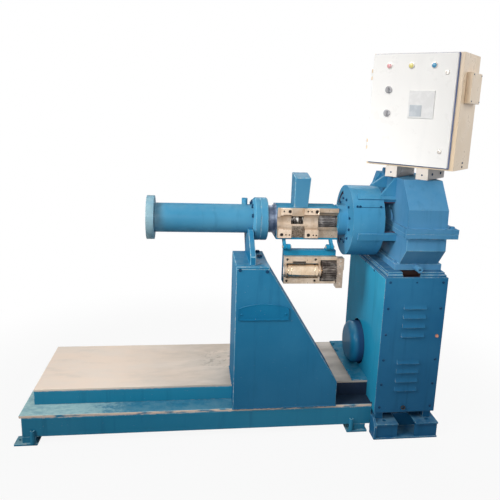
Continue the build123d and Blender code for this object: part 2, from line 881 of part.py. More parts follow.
def cabinet_side_panels():
    panels = [slab(x0, x0 + cabinet_sheet, -cabinet_half_depth, cabinet_half_depth,
                   cabinet_bottom, z_cabinet_top - cabinet_top_thickness)
              for x0 in (x_cabinet, x_cabinet_end - cabinet_sheet)]
    panels[0] -= rod(cowl_hole_radius, x_cabinet - overrun, x_cabinet + cabinet_sheet + overrun,
                     motor_offset, motor_height)
    return panels


def louvred(cover, start, level):
    """The front cover with one group of pressed louvres, each open at its lower side."""
    y_in = -cabinet_half_depth
    y_out = y_in - cabinet_sheet
    x0 = x_cabinet + start
    x1 = x0 + louvre_length
    for number in range(louvre_count):
        z0 = level + number * louvre_pitch
        z1 = z0 + louvre_height
        cover += along_x([(y_out, z0), (y_out - louvre_proud, z0), (y_out, z1)], x0, x1)
        cover -= along_x([(y_in + overrun, z0), (y_out - louvre_proud + louvre_wall, z0),
                          (y_out, z1 - 2 * louvre_wall), (y_in + overrun, z1 - 2 * louvre_wall)],
                         x0 + louvre_wall, x1 - louvre_wall)
    return cover


def cabinet_covers():
    front, back = [slab(x_cabinet, x_cabinet_end, y0, y0 + cabinet_sheet, cabinet_bottom,
                        z_cabinet_top)
                   for y0 in (-cabinet_half_depth - cabinet_sheet, cabinet_half_depth)]
    front = louvred(front, upper_louvre_start, upper_louvre_level)
    return [louvred(front, lower_louvre_start, lower_louvre_level), back]


def cabinet_floor():
    return slab(x_cabinet + cabinet_sheet, x_cabinet_end - cabinet_sheet, -cabinet_half_depth,
                cabinet_half_depth, cabinet_bottom, cabinet_bottom + cabinet_sheet)


def cabinet_top_plate():
    return slab(x_cabinet, x_cabinet_end, -cabinet_half_depth, cabinet_half_depth,
                z_cabinet_top - cabinet_top_thickness, z_cabinet_top)


def foot_channel(side):
    """A channel on the floor along X, open to the outside, with bolt holes below."""
    x0 = x_cabinet + foot_channel_start
    x1 = x_cabinet_end + foot_channel_overhang
    y_tip = side * foot_channel_front
    y_web = y_tip - side * foot_channel_depth
    y_wall = y_web + side * foot_channel_wall
    wall, high = foot_channel_wall, foot_channel_height
    channel = along_x([(y_web, 0), (y_tip, 0), (y_tip, wall), (y_wall, wall),
                       (y_wall, high - wall), (y_tip, high - wall), (y_tip, high), (y_web, high)],
                      x0, x1)
    x_cut = x0 + foot_cut_start
    y_cut = sorted((y_wall, y_tip + side * overrun))
    channel -= slab(x_cut, x_cut + foot_cut_length, *y_cut, high - wall - overrun, high + overrun)
    y_hole = y_tip - side * foot_hole_from_front
    for x in (x0 + foot_hole_inset, x1 - foot_hole_inset):
        channel -= post_hole(foot_hole_radius, x, y_hole, -overrun, high + overrun)
    return channel


def foot_end_gusset():
    x1 = x_cabinet + foot_channel_start
    y0 = -foot_channel_front
    y1 = y0 + end_gusset_depth
    return along_x([(y0, 0), (y0, end_gusset_height - end_gusset_cut),
                    (y0 + end_gusset_cut, end_gusset_height), (y1, end_gusset_height), (y1, 0)],
                   x1 - end_gusset_thickness, x1)


def cabinet_feet():
    return [foot_channel(-1) + foot_end_gusset(), foot_channel(1)]


def cabinet_bearers():
    half = cabinet_half_depth - bearer_end_inset
    return [slab(x, x + bearer_width, -half, half, foot_channel_height, cabinet_bottom)
            for x in (x_cabinet + bearer_inset, x_cabinet_end - bearer_inset - bearer_width)]


def motor_shelf():
    return slab(x_cabinet + cabinet_sheet, x_cabinet_end - cabinet_sheet,
                motor_offset - shelf_half_depth, motor_offset + shelf_half_depth,
                shelf_height, shelf_height + shelf_thickness)


def motor():
    x0 = x_cabinet + cabinet_sheet
    body = rod(motor_radius, x0, x0 + motor_length, motor_offset, motor_height)
    x_foot = x0 + (motor_length - motor_foot_width) / 2
    return body + slab(x_foot, x_foot + motor_foot_width, motor_offset - motor_foot_width / 2,
                       motor_offset + motor_foot_width / 2, shelf_height + shelf_thickness,
                       motor_height)


def motor_cowl():
    x0, x1 = x_cabinet - cowl_reach, x_cabinet + cabinet_sheet
    cowl = rod(cowl_radius, x0, x1, motor_offset, motor_height)
    return fillet(cowl.edges().sort_by(Axis.X)[0], cowl_rim_round)


def panel_rails():
    return [panel_frame * slab(share * panel_width, share * panel_width + panel_rail_width,
                               0, panel_depth, -panel_rail_height, 0)
            for share in panel_rail_shares]


def panel_enclosure():
    shell = slab(0, panel_width, 0, panel_depth, 0, panel_height)
    shell -= slab(panel_sheet, panel_width - panel_sheet, panel_sheet, panel_depth - panel_sheet,
                  panel_sheet, panel_height - panel_sheet)
    shell -= slab(rim_width, panel_width - door_right_margin - rim_width, -overrun,
                  panel_sheet + overrun, door_bottom + rim_width,
                  panel_height - door_top_margin - rim_width)
    return panel_frame * shell


def panel_side_box():
    return panel_frame * slab(panel_width, panel_width + side_box_reach, side_box_start,
                              side_box_start + side_box_length, side_box_bottom,
                              side_box_bottom + side_box_height)


def hinge_post(radius, z0, z1):
    """A round bar on the axis of the panel door's hinges."""
    return post_hole(radius, door_hinge_inset, door_hinge_place, z0, z1)


def panel_hinges():
    hinges = []
    for level in (door_hinge_lower_level, door_hinge_upper_level):
        hinge = hinge_post(door_hinge_pin_radius, level - door_hinge_half, level + door_hinge_half)
        inner = door_hinge_knuckle_half + door_hinge_gap
        for z0, z1 in ((level - door_hinge_half, level - inner),
                       (level + inner, level + door_hinge_half)):
            hinge += hinge_post(door_hinge_radius, z0, z1)
            hinge += slab(door_hinge_inset - door_hinge_leaf / 2, door_hinge_inset + door_hinge_leaf / 2,
                          door_hinge_place, 0, z0, z1)
        hinges.append(panel_frame * hinge)
    return hinges


def panel_door():
    door = slab(door_left, panel_width - door_right_margin, -door_seat_gap - door_thickness,
                -door_seat_gap, door_bottom, panel_height - door_top_margin)
    for level in (door_hinge_lower_level, door_hinge_upper_level):
        z0, z1 = level - door_hinge_knuckle_half, level + door_hinge_knuckle_half
        door += hinge_post(door_hinge_radius, z0, z1)
        door += slab(door_hinge_inset, door_left, door_hinge_place - door_hinge_leaf / 2,
                     door_hinge_place + door_hinge_leaf / 2, z0, z1)
        door -= hinge_post(door_hinge_pin_radius + running_gap, z0 - door_hinge_gap,
                           z1 + door_hinge_gap)
    return panel_frame * door


def on_door(shape, along, level):
    """A shape built upward from the floor, set facing out on the door's face."""
    return panel_frame * Pos(along, -door_seat_gap - door_thickness, level) * Rot(90, 0, 0) * shape


def pilot_lamps():
    start = (Align.CENTER, Align.CENTER, Align.MIN)
    bezel = Cylinder(lamp_radius, lamp_height / 2, align=start)
    lens = Cylinder(lamp_dome_radius, lamp_height, align=start)
    lamp = bezel + fillet(lens.edges().sort_by(Axis.Z)[-1], lamp_height / 4)
    return [on_door(lamp, share * panel_width, lamp_level) for share in lamp_shares]


def selector(level):
    start = (Align.CENTER, Align.CENTER, Align.MIN)
    knob = Cylinder(selector_radius, selector_base_height, align=start)
    knob += Pos(0, 0, selector_base_height) * Box(selector_grip_width, 2 * selector_radius
                                                  - selector_grip_width, selector_grip_height,
                                                  align=start)
    return on_door(Pos(0, 0, running_gap) * knob, selector_place, level)


def panel_display():
    start = (Align.MIN, Align.MIN, Align.MIN)
    return on_door(Box(display_width, display_height, display_proud, align=start),
                   display_left, display_bottom)


def door_locks():
    start = (Align.CENTER, Align.CENTER, Align.MIN)
    return [on_door(Cylinder(lock_radius, lock_height, align=start), lock_place, level)
            for level in (lock_lower_level, lock_upper_level)]


pieces = {
    "base_rails": base_rails(),
    "base_cross_members": base_cross_members(),
    "lower_bed_plate": lower_bed_plate(),
    "table_rails": table_rails(),
    "table_cross_members": table_cross_members(),
    "table_plate": table_plate(),
    "table_end_strip": table_end_strip(),
    "levelling_feet": levelling_feet(),
    "post_face_plates": post_face_plates(),
    "post_side_plates": post_side_plates(),
    "post_top_plate": post_top_plate_piece(),
    "barrel_saddle": barrel_saddle(),
    "barrel": barrel(),
    "barrel_front_flange": barrel_front_flange(),
    "barrel_rear_flange": barrel_rear_flange(),
    "feed_neck": feed_neck(),
    "feed_block": feed_block(),
    "feed_guide": feed_guide(),
    "hinge_pin": hinge_pin(),
    "roller_frame": roller_frame(),
    "roller_housing_back": roller_housing_back(),
    "roller_bearing_caps": roller_bearing_caps(),
    "roller_end_plate": roller_end_plate(),
    "feed_roller": feed_roller(),
    "roller_gear": roller_gear(),
    "screw": screw(),
    "screw_gear": screw_gear(),
    "lantern_housing": lantern_housing(),
    "gearbox_lower_casing": gearbox_lower_casing(),
    "gearbox_upper_casing": gearbox_upper_casing(),
    "drain_plug": drain_plug(),
    "sole_plate": sole_plate(),
    "cabinet_side_panels": cabinet_side_panels(),
    "cabinet_covers": cabinet_covers(),
    "cabinet_floor": cabinet_floor(),
    "cabinet_top_plate": cabinet_top_plate(),
    "cabinet_feet": cabinet_feet(),
    "cabinet_bearers": cabinet_bearers(),
    "motor_shelf": motor_shelf(),
    "motor": motor(),
    "motor_cowl": motor_cowl(),
    "panel_rails": panel_rails(),
    "panel_enclosure": panel_enclosure(),
    "panel_side_box": panel_side_box(),
    "panel_hinges": panel_hinges(),
    "panel_door": panel_door(),
    "pilot_lamps": pilot_lamps(),
    "selector_upper": selector(selector_upper_level),
    "selector_lower": selector(selector_lower_level),
    "panel_display": panel_display(),
    "door_locks": door_locks(),
}

os.makedirs("parts", exist_ok=True)
for name, piece in pieces.items():
    solids = piece if isinstance(piece, list) else [piece]
    moved = [to_origin * solid for solid in solids]
    shape = moved[0] if len(moved) == 1 else Compound(children=moved)
    export_step(shape, f"parts/{name}.step")
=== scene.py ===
import bmesh
import bpy
import json
import math
from mathutils import Matrix, Vector

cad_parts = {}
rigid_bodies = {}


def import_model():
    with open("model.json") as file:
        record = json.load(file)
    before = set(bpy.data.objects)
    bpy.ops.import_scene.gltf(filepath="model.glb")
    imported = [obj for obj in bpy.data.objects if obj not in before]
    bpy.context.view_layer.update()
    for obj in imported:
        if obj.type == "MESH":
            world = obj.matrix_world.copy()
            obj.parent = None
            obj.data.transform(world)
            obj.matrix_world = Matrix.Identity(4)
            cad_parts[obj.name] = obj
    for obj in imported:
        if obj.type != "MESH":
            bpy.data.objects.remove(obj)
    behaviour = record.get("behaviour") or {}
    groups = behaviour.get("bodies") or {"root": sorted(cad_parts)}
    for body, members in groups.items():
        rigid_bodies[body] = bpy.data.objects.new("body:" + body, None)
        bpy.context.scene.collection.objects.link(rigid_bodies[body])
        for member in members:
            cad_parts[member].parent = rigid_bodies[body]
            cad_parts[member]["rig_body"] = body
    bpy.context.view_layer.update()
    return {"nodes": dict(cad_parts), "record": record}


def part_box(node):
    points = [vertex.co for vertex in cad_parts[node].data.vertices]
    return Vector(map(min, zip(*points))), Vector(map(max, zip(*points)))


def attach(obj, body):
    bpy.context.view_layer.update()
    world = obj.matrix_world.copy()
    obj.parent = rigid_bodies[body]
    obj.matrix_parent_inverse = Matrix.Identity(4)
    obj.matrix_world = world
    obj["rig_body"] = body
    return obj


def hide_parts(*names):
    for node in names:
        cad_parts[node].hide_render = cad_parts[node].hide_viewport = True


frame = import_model()

# Base frame: two rolled channels joined by cross members, on four plate feet.
# Mild steel, arc welded and sprayed all over with one coat of blue enamel.
mm = 0.001
die_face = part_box("barrel_front_flange")[0][0]


def spot(x, y, z):
    """A place in mm from the die flange's face, the barrel line and the floor."""
    return Vector((die_face + x * mm, y * mm, z * mm))


def reach(node):
    """The lowest and highest corner of a CAD node, in the same mm as spot."""
    return [Vector((x - die_face, y, z)) / mm for x, y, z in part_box(node)]


def tone(red, green, blue):
    """A colour from the 0 to 255 scale, as the shader's linear light."""
    parts = [v / 255 for v in (red, green, blue)]
    return tuple(v / 12.92 if v < 0.04045 else ((v + 0.055) / 1.055) ** 2.4 for v in parts) + (1.0,)


def put(tree, kind, sockets=None, **settings):
    """Adds a shader node, sets its properties, and fills or links its sockets."""
    node = tree.nodes.new(kind)
    for key, value in settings.items():
        setattr(node, key, value)
    for key, value in (sockets or {}).items():
        if isinstance(value, bpy.types.NodeSocket):
            tree.links.new(value, node.inputs[key])
        else:
            node.inputs[key].default_value = value
    return node


def grain(tree, where, scale, detail=4.0, rough=0.55, swirl=0.0):
    """Cloudy grain of one size."""
    return put(tree, "ShaderNodeTexNoise", {"Vector": where, "Scale": scale, "Detail": detail,
                                            "Roughness": rough, "Distortion": swirl}).outputs[0]


def drawn_out(tree, where, stretch, detail=4.0, rough=0.55):
    """Grain that runs in lines, because its place is stretched by its own scale along each axis."""
    lines = put(tree, "ShaderNodeMapping", {"Vector": where, "Scale": stretch}).outputs[0]
    return grain(tree, lines, 1.0, detail, rough)


def fade(tree, value, low, high, start=0.0, end=1.0):
    """A soft step from start to end while value goes from low to high."""
    return put(tree, "ShaderNodeMapRange", {"Value": value, "From Min": low, "From Max": high,
                                            "To Min": start, "To Max": end},
               interpolation_type="SMOOTHSTEP").outputs[0]


def sum_up(tree, how, total, *others):
    """Numbers put together one after another, each step kept between 0 and 1."""
    for other in others:
        total = put(tree, "ShaderNodeMath", {0: total, 1: other}, operation=how, use_clamp=True).outputs[0]
    return total


def times(tree, *factors):
    """The product of masks and shares."""
    return sum_up(tree, "MULTIPLY", *factors)


def over(tree, share, under, top, how="MIX"):
    """One colour laid over another."""
    return put(tree, "ShaderNodeMix", {0: share, 6: under, 7: top}, data_type="RGBA",
               blend_type=how).outputs[2]


def place_on(tree):
    """The place on the machine, whole and as x, y and z in the same mm as spot."""
    place = put(tree, "ShaderNodeTexCoord").outputs["Object"]
    measured = put(tree, "ShaderNodeMapping", {"Vector": place, "Location": (-die_face / mm, 0, 0),
                                               "Scale": (1 / mm, 1 / mm, 1 / mm)}).outputs[0]
    return place, *put(tree, "ShaderNodeSeparateXYZ", {0: measured}).outputs


def facing_on(tree):
    """The way that a surface faces, as its three shares."""
    normal = put(tree, "ShaderNodeTexCoord").outputs["Normal"]
    return put(tree, "ShaderNodeSeparateXYZ", {0: normal}).outputs


def effect(name, inputs, surface_of):
    """A shader node group that makes a colour, a roughness and a height out of its inputs."""
    tree = bpy.data.node_groups.new(name, "ShaderNodeTree")
    outputs = {"Colour": "Color", "Roughness": "Float", "Height": "Float"}
    for way, sockets in (("INPUT", inputs), ("OUTPUT", outputs)):
        for label, kind in sockets.items():
            tree.interface.new_socket(name=label, in_out=way, socket_type="NodeSocket" + kind)
    surface = surface_of(tree, tree.nodes.new("NodeGroupInput").outputs)
    for socket, value in zip(tree.nodes.new("NodeGroupOutput").inputs, surface):
        tree.links.new(value, socket)
    return tree


def worn_surface(tree, given):
    """Sprayed enamel: clouded, streaked and chipped at its edges, with the rubbed colour along its edges as a
    painted highlight, painted shade darker towards the floor, and dust lying on top.
    """
    where, _, _, height = place_on(tree)
    clouds = grain(tree, where, 2.4, 5)
    patches = grain(tree, where, 17, 6, 0.62)
    specks = grain(tree, where, 150, 3, 0.6)
    peel = grain(tree, where, 330, 2)
    edge = put(tree, "ShaderNodeAttribute", attribute_name="worn_and_highlit_edge").outputs["Fac"]
    chips = times(tree, edge, fade(tree, grain(tree, where, 46, 5, 0.7), 0.5, 0.6))
    chips = times(tree, sum_up(tree, "ADD", chips, fade(tree, specks, 0.73, 0.76)), given["Wear"])
    scrapes = fade(tree, drawn_out(tree, where, (9, 40, 60), 5, 0.6), 0.36, 0.5)
    chips = sum_up(tree, "MAXIMUM", chips, times(tree, given["Bare Share"], scrapes))
    upward = fade(tree, facing_on(tree)[2], 0.45, 0.95)
    settled = times(tree, upward, fade(tree, patches, 0.3, 0.68), given["Dust Share"])
    colour = over(tree, fade(tree, clouds, 0.36, 0.66), given["Paint"], given["Faded"])
    runs = fade(tree, drawn_out(tree, where, (30, 30, 2.5)), 0.52, 0.78)
    colour = over(tree, times(tree, runs, given["Runs"]), colour, tone(110, 128, 142), "MULTIPLY")
    # Painted highlight: the rubbed colour laid in patches along the bevelled edges.
    rubbed = times(tree, edge, fade(tree, patches, 0.3, 0.6, 0.12, 0.5))
    colour = over(tree, rubbed, colour, given["Rubbed"])
    # Painted shade: darker in clouds towards the floor.
    low_shade = times(tree, fade(tree, height, 850, 100), fade(tree, clouds, 0.25, 0.6, 0.36, 0.56))
    colour = over(tree, low_shade, colour, tone(150, 165, 182), "MULTIPLY")
    colour = over(tree, settled, colour, given["Dust"])
    colour = over(tree, chips, colour, given["Bare"])
    rough = sum_up(tree, "ADD", fade(tree, patches, 0.25, 0.75, 0.24, 0.42), times(tree, settled, 0.4),
                   times(tree, chips, 0.25))
    relief = sum_up(tree, "ADD", times(tree, peel, 0.35), times(tree, patches, 0.2))
    return colour, rough, sum_up(tree, "SUBTRACT", relief, times(tree, chips, 0.3))


# Its Rubbed colour is the painted highlight along edges.
worn_enamel = effect(
    "worn_enamel", {"Paint": "Color", "Faded": "Color", "Bare": "Color", "Dust": "Color", "Rubbed": "Color",
                    "Wear": "Float", "Runs": "Float", "Dust Share": "Float", "Bare Share": "Float"},
    worn_surface)


def coated(name, finish, values, bump, shader):
    """A material whose colour, roughness and relief come from one of the effects, bump mm deep."""
    material = bpy.data.materials.new(name)
    material.use_nodes = True
    tree = material.node_tree
    shade = tree.nodes["Principled BSDF"]
    group = put(tree, "ShaderNodeGroup", values, node_tree=finish)
    tree.links.new(group.outputs["Colour"], shade.inputs["Base Color"])
    tree.links.new(group.outputs["Roughness"], shade.inputs["Roughness"])
    relief = put(tree, "ShaderNodeBump", {"Height": group.outputs["Height"], "Distance": bump * mm,
                                          "Strength": 0.6})
    tree.links.new(relief.outputs[0], shade.inputs["Normal"])
    for key, value in shader.items():
        shade.inputs[key].default_value = value
    return material


def enamel(name, colours, wear, runs, dust, shader, bump=0.4):
    """A sprayed finish from its five colours: fresh, faded, chipped, dusty, and rubbed, which is laid along
    edges as a painted highlight.
    """
    values = dict(zip(("Paint", "Faded", "Bare", "Dust", "Rubbed"), colours))
    values.update({"Wear": wear, "Runs": runs, "Dust Share": dust})
    return coated(name, worn_enamel, values, bump, shader)


machine_blue = tone(24, 120, 160)
faded_blue = tone(40, 136, 174)
# The pale blue of the painted highlight along edges.
highlight_blue = tone(140, 198, 218)
primer_grey = tone(196, 190, 182)
workshop_dust = tone(172, 202, 198)


def blue_enamel(name, dust, wear, paint=machine_blue, faded=faded_blue, chip=primer_grey, coat=0.1):
    """The machine's blue enamel with its own share of dust and wear."""
    return enamel(name, (paint, faded, chip, workshop_dust, highlight_blue), wear, 0.22, dust,
                  {"Coat Weight": coat, "Coat Roughness": 0.1, "Specular IOR Level": 0.0})


slot_of = {row["node"]: row["material_slot"] for row in frame["record"]["subparts"]}
crease = math.radians(38)
corner_angle = math.radians(32)
flat_angle = math.radians(0.4)
merge_gap = 0.01 * mm


def stand(name, bm, material, body, slot, *nodes):
    """Turns a mesh into a piece of the machine that rides on a body."""
    mesh = bpy.data.meshes.new(name)
    bm.to_mesh(mesh)
    bm.free()
    mesh.shade_smooth()
    mesh.set_sharp_from_angle(angle=crease)
    mesh.materials.append(material)
    piece = bpy.data.objects.new(name, mesh)
    bpy.context.scene.collection.objects.link(piece)
    piece.modifiers.new("flat_faces", "WEIGHTED_NORMAL").keep_sharp = True
    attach(piece, body)
    if nodes:
        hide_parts(*nodes)


def eased(bm, edges, width):
    """Rounds edges over, and gives the faces that this makes."""
    return bmesh.ops.bevel(bm, geom=edges, offset=width, segments=2, profile=0.5, affect="EDGES",
                           material=-1, clamp_overlap=True)["faces"]


def softened(material, **corners):
    """Copies of CAD nodes, each with its corners rounded over by so many mm, in the nodes' places."""
    for node, radius in corners.items():
        solid = frame["nodes"][node]
        bm = bmesh.new()
        bm.from_mesh(solid.data)
        bmesh.ops.remove_doubles(bm, verts=bm.verts, dist=merge_gap)
        bmesh.ops.dissolve_limit(bm, angle_limit=flat_angle, verts=bm.verts, edges=bm.edges)
        worn = bm.faces.layers.float.new("worn_and_highlit_edge")
        sharp = [edge for edge in bm.edges if edge.is_manifold and edge.calc_face_angle() > corner_angle
                 and edge.calc_length() > 2 * radius * mm]
        for face in eased(bm, sharp, radius * mm):
            face[worn] = 1.0
        stand(node + "_dressed", bm, material, solid["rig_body"], slot_of[node], node)


rail_teal, rail_pale = tone(40, 130, 164), tone(54, 142, 174)
base_enamel = blue_enamel("base_enamel", 0.4, 0.55, rail_teal, rail_pale)
softened(base_enamel, base_rails=2.5, base_cross_members=2, levelling_feet=2)

# Jacking tubes: short thick tubes that stand on the front foot plates, welded to
# the rail and painted with the frame. A bar through the tube levels the base.
up = Vector((0, 0, 1))
bedding = 0.2


def shape(name, bm):
    """Keeps a small mesh as a pattern that is stamped into pieces."""
    mesh = bpy.data.meshes.new(name)
    bm.to_mesh(mesh)
    bm.free()
    return mesh


def turned(name, profile, steps=24):
    """A pattern turned round Z from a (radius, height) profile."""
    bm = bmesh.new()
    ring = [bm.verts.new((radius, 0, height)) for radius, height in profile]
    rim = [bm.edges.new(pair) for pair in zip(ring, ring[1:])]
    bmesh.ops.spin(bm, geom=ring + rim, cent=(0, 0, 0), axis=up, angle=2 * math.pi, steps=steps,
                   use_merge=True, use_duplicate=False)
    bmesh.ops.remove_doubles(bm, verts=bm.verts, dist=0.0001)
    bmesh.ops.recalc_face_normals(bm, faces=bm.faces)
    return shape(name, bm)


def stamp(bm, pattern, at, facing, size, turn=0.0, stretch=1.0):
    """Beds one pattern at a place, its head turned to facing and its unit so many mm long."""
    facing = facing.normalized()
    aim = up.rotation_difference(facing).to_matrix().to_4x4()
    grow = Matrix.Diagonal((size * mm, size * mm, size * mm * stretch, 1))
    copy = pattern.copy()
    foot = Matrix.Translation(at - facing * bedding * mm)
    copy.transform(foot @ aim @ Matrix.Rotation(turn, 4, "Z") @ grow)
    bm.from_mesh(copy)
    bpy.data.meshes.remove(copy)


tube_shape = turned("jack_tube", [(0.45, 0), (1, 0), (1, 0.94), (0.92, 1), (0.52, 1), (0.45, 0.95),
                                  (0.45, 0)])
tube_inset, tube_setback, tube_foot = 82, 3, 10.4
tube_radius, tube_height = 10.5, 63
feet_low, feet_high = reach("levelling_feet")
tubes = bmesh.new()
for x in (feet_low.x + tube_inset, feet_high.x - tube_inset):
    stamp(tubes, tube_shape, spot(x, feet_low.y + tube_setback, tube_foot), up, tube_radius,
          stretch=tube_height / tube_radius)
stand("jack_tubes", tubes, base_enamel, "machine", "blue_paint")

# Bed plate: flame-cut plate welded along the rails. Its left end is grey with trodden dust, its front edge is
# rubbed down to the metal, and behind the post it is darkened with painted shadow.
bed_enamel = blue_enamel("bed_enamel", 0.15, 0.6, rail_teal, rail_pale, tone(214, 192, 176))
bed_high = reach("lower_bed_plate")[1]
dust_thins, dust_ends, dust_ragged = -295, -75, 90
bed_shade_starts, bed_shade_full, bed_shade_front = 840, 940, -246


def stained(material, tint, mask_of):
    """Lays a second colour over a finish wherever a mask of the place says so."""
    tree = material.node_tree
    base = tree.nodes["Principled BSDF"].inputs["Base Color"]
    tree.links.new(over(tree, mask_of(tree, *place_on(tree)), base.links[0].from_socket, tint), base)


def effect_in(material):
    """The node that places an effect in a material."""
    return next(node for node in material.node_tree.nodes if node.type == "GROUP")


def driven(material, socket, mask_of):
    """Lets a mask of the place set an input of a material's node."""
    tree = material.node_tree
    tree.links.new(mask_of(tree, *place_on(tree)), socket)


def rubbed_front(tree, place, x, y, z):
    """Smears of bare metal on the faces that look to the front."""
    ahead = fade(tree, facing_on(tree)[1], -0.4, -0.9)
    return times(tree, ahead, fade(tree, grain(tree, place, 7, 5, 0.6), 0.28, 0.42))


def trodden(tree, place, x, y, z):
    """Dust on the top of the plate, thinning out to the right in scuffed streaks."""
    scuffs = drawn_out(tree, place, (30, 55, 30), 6, 0.68)
    ragged = put(tree, "ShaderNodeMath", {0: x, 1: fade(tree, scuffs, 0.35, 0.65, -dust_ragged, dust_ragged)},
                 operation="ADD").outputs[0]
    top = fade(tree, z, bed_high.z - 1.4, bed_high.z - 0.2)
    return times(tree, fade(tree, ragged, dust_thins, dust_ends, 1.0, 0.05), top,
                 fade(tree, scuffs, 0.3, 0.7, 0.5, 0.9))


def band(tree, value, low, high, soft=1.0):
    """A mask that is 1 from low to high."""
    return times(tree, fade(tree, value, low - soft, low), fade(tree, value, high + soft, high))


def shaded_bed_end(tree, place, x, y, z):
    """Painted shadow on the plate behind the post, under the table's end."""
    return times(tree, fade(tree, x, bed_shade_starts, bed_shade_full, 0.0, 0.85),
                 band(tree, y, bed_shade_front, 0, 4))


# The near-black purple of the painted shadow behind the post.
shadow_purple = tone(38, 30, 48)
driven(bed_enamel, effect_in(bed_enamel).inputs["Bare Share"], rubbed_front)
stained(bed_enamel, tone(176, 208, 208), trodden)
# Painted shadow: the plate behind the post goes near-black.
stained(bed_enamel, shadow_purple, shaded_bed_end)
softened(bed_enamel, lower_bed_plate=2.5)

# Work table: rolled channels, painted blue and darkened behind the post with painted shadow, under a bare
# sheet of mild steel that has gone creamy with grease, with grey scuffs and oil marks near the post, and
# painted shade that darkens it towards the post.
table_enamel = blue_enamel("table_enamel", 0.3, 0.45, tone(46, 148, 182), tone(60, 158, 192))
rail_shade_starts, rail_shade_full, rail_shade_edge = 800, 920, 50
# Painted shadow on the rails' right end, behind the post.
stained(table_enamel, shadow_purple, lambda tree, place, x, y, z: times(
    tree, fade(tree, x, rail_shade_starts, rail_shade_full, 0.0, 0.9),
    fade(tree, y, rail_shade_edge, -rail_shade_edge)))
softened(table_enamel, table_rails=2.5, table_cross_members=2)


def greasy_surface(tree, given):
    """A handled sheet: warm clouds, grey scuffs and scratches, spills of oil, and painted shade laid in the
    oil colour by its share.
    """
    where = place_on(tree)[0]
    clouds = drawn_out(tree, where, (3, 6, 6), 5, 0.6)
    smears = drawn_out(tree, where, (4, 11, 11), 6, 0.66)
    scratches = drawn_out(tree, where, (14, 300, 14), 3)
    colour = over(tree, fade(tree, clouds, 0.36, 0.62), given["Clean"], given["Warm"])
    colour = over(tree, fade(tree, smears, 0.52, 0.76, 0.0, 0.5), colour, given["Scuff"])
    colour = over(tree, fade(tree, scratches, 0.55, 0.8, 0.0, 0.16), colour, given["Scuff"])
    # Painted shade, in the oil colour, where its share says.
    film = times(tree, given["Painted Shade Share"], fade(tree, smears, 0.25, 0.6, 0.6, 1.0))
    colour = over(tree, film, colour, given["Oil"])
    spill = times(tree, given["Oil Share"], fade(tree, grain(tree, where, 16, 6, 0.7, 1.6), 0.5, 0.6))
    colour = over(tree, spill, colour, given["Oil"])
    relief = sum_up(tree, "ADD", times(tree, scratches, 0.4), times(tree, smears, 0.3))
    return colour, fade(tree, smears, 0.3, 0.7, 0.46, 0.7), relief


greasy_sheet = effect("greasy_sheet", {"Clean": "Color", "Warm": "Color", "Scuff": "Color", "Oil": "Color",
                                       "Oil Share": "Float", "Painted Shade Share": "Float"}, greasy_surface)
bare_sheet = coated("bare_sheet", greasy_sheet, {"Clean": tone(222, 209, 197), "Warm": tone(226, 209, 194),
                                                 "Scuff": tone(200, 192, 184), "Oil": tone(128, 124, 116)},
                    0.4, {"Metallic": 0.1, "Specular IOR Level": 0.2})
spill_place, spill_heart, spill_reach = spot(357.7, 123, 229), 30, 160
sheet_shade_starts, sheet_shade_full = -285, 515


def far_from(tree, place, point):
    """The distance of a place from a point."""
    return put(tree, "ShaderNodeVectorMath", {0: place, 1: point}, operation="DISTANCE").outputs["Value"]


sheet_inputs = effect_in(bare_sheet).inputs
driven(bare_sheet, sheet_inputs["Oil Share"], lambda tree, place, x, y, z: fade(
    tree, far_from(tree, place, spill_place), spill_heart * mm, spill_reach * mm, 0.6, 0.0))
# Painted shade on the sheet, growing towards the post.
driven(bare_sheet, sheet_inputs["Painted Shade Share"], lambda tree, place, x, y, z: fade(
    tree, x, sheet_shade_starts, sheet_shade_full, 0.0, 0.6))
softened(bare_sheet, table_plate=1.5)

# End strip: a flat bar screwed down across the sheet's right end by four hexagon
# bolts, painted over together with them.
end_enamel = blue_enamel("end_strip_enamel", 0.15, 0.6, tone(38, 148, 186), tone(52, 160, 196))
softened(end_enamel, table_end_strip=1.5)


def hex_bolt():
    """A washer with a chamfered hexagon head, one unit to a corner."""
    washer_radius, washer_rim, washer_height = 1.3, 1.25, 0.16
    head_height, chamfer = 0.66, 0.13
    bm = bmesh.new()
    bmesh.ops.create_cone(bm, cap_ends=True, segments=20, radius1=washer_radius, radius2=washer_rim,
                          depth=washer_height, matrix=Matrix.Translation(up * washer_height / 2))
    head = bmesh.ops.create_cone(bm, cap_ends=True, segments=6, radius1=1, radius2=1, depth=head_height,
                                 matrix=Matrix.Translation(up * (washer_height + head_height / 2)))["verts"]
    crown = {vert for vert in head if vert.co.z > head_height}
    eased(bm, [edge for edge in bm.edges if crown.issuperset(edge.verts)], chamfer)
    return shape("hex_bolt", bm)


bolt_shape = hex_bolt()
strip_low, strip_high = reach("table_end_strip")
strip_bolt_inset, strip_bolt_size = 9, 9
bolts = bmesh.new()
for across in (20, 107, 348, 435):
    y = strip_low.y + across
    stamp(bolts, bolt_shape, spot(strip_low.x + strip_bolt_inset, y, strip_high.z), up, strip_bolt_size, y)
stand("end_strip_bolts", bolts, end_enamel, "machine", "blue_paint")

# Post: four plates welded into a tapering box that carries the barrel. The
# seams stand open beside the set-back side plates, and the enamel is clean.
post_enamel = blue_enamel("post_enamel", 0.12, 0.45, tone(36, 111, 150), tone(48, 123, 162))
softened(post_enamel, post_face_plates=2, post_side_plates=1.5, post_top_plate=2.5)
saddle_enamel = blue_enamel("saddle_enamel", 0.12, 0.45, tone(26, 104, 144), tone(36, 116, 156))
softened(saddle_enamel, barrel_saddle=3)

drop = bmesh.new()
bmesh.ops.create_uvsphere(drop, u_segments=8, v_segments=5, radius=1)
drop_shape = shape("weld_drop", drop)
drop_pitch = 5.98


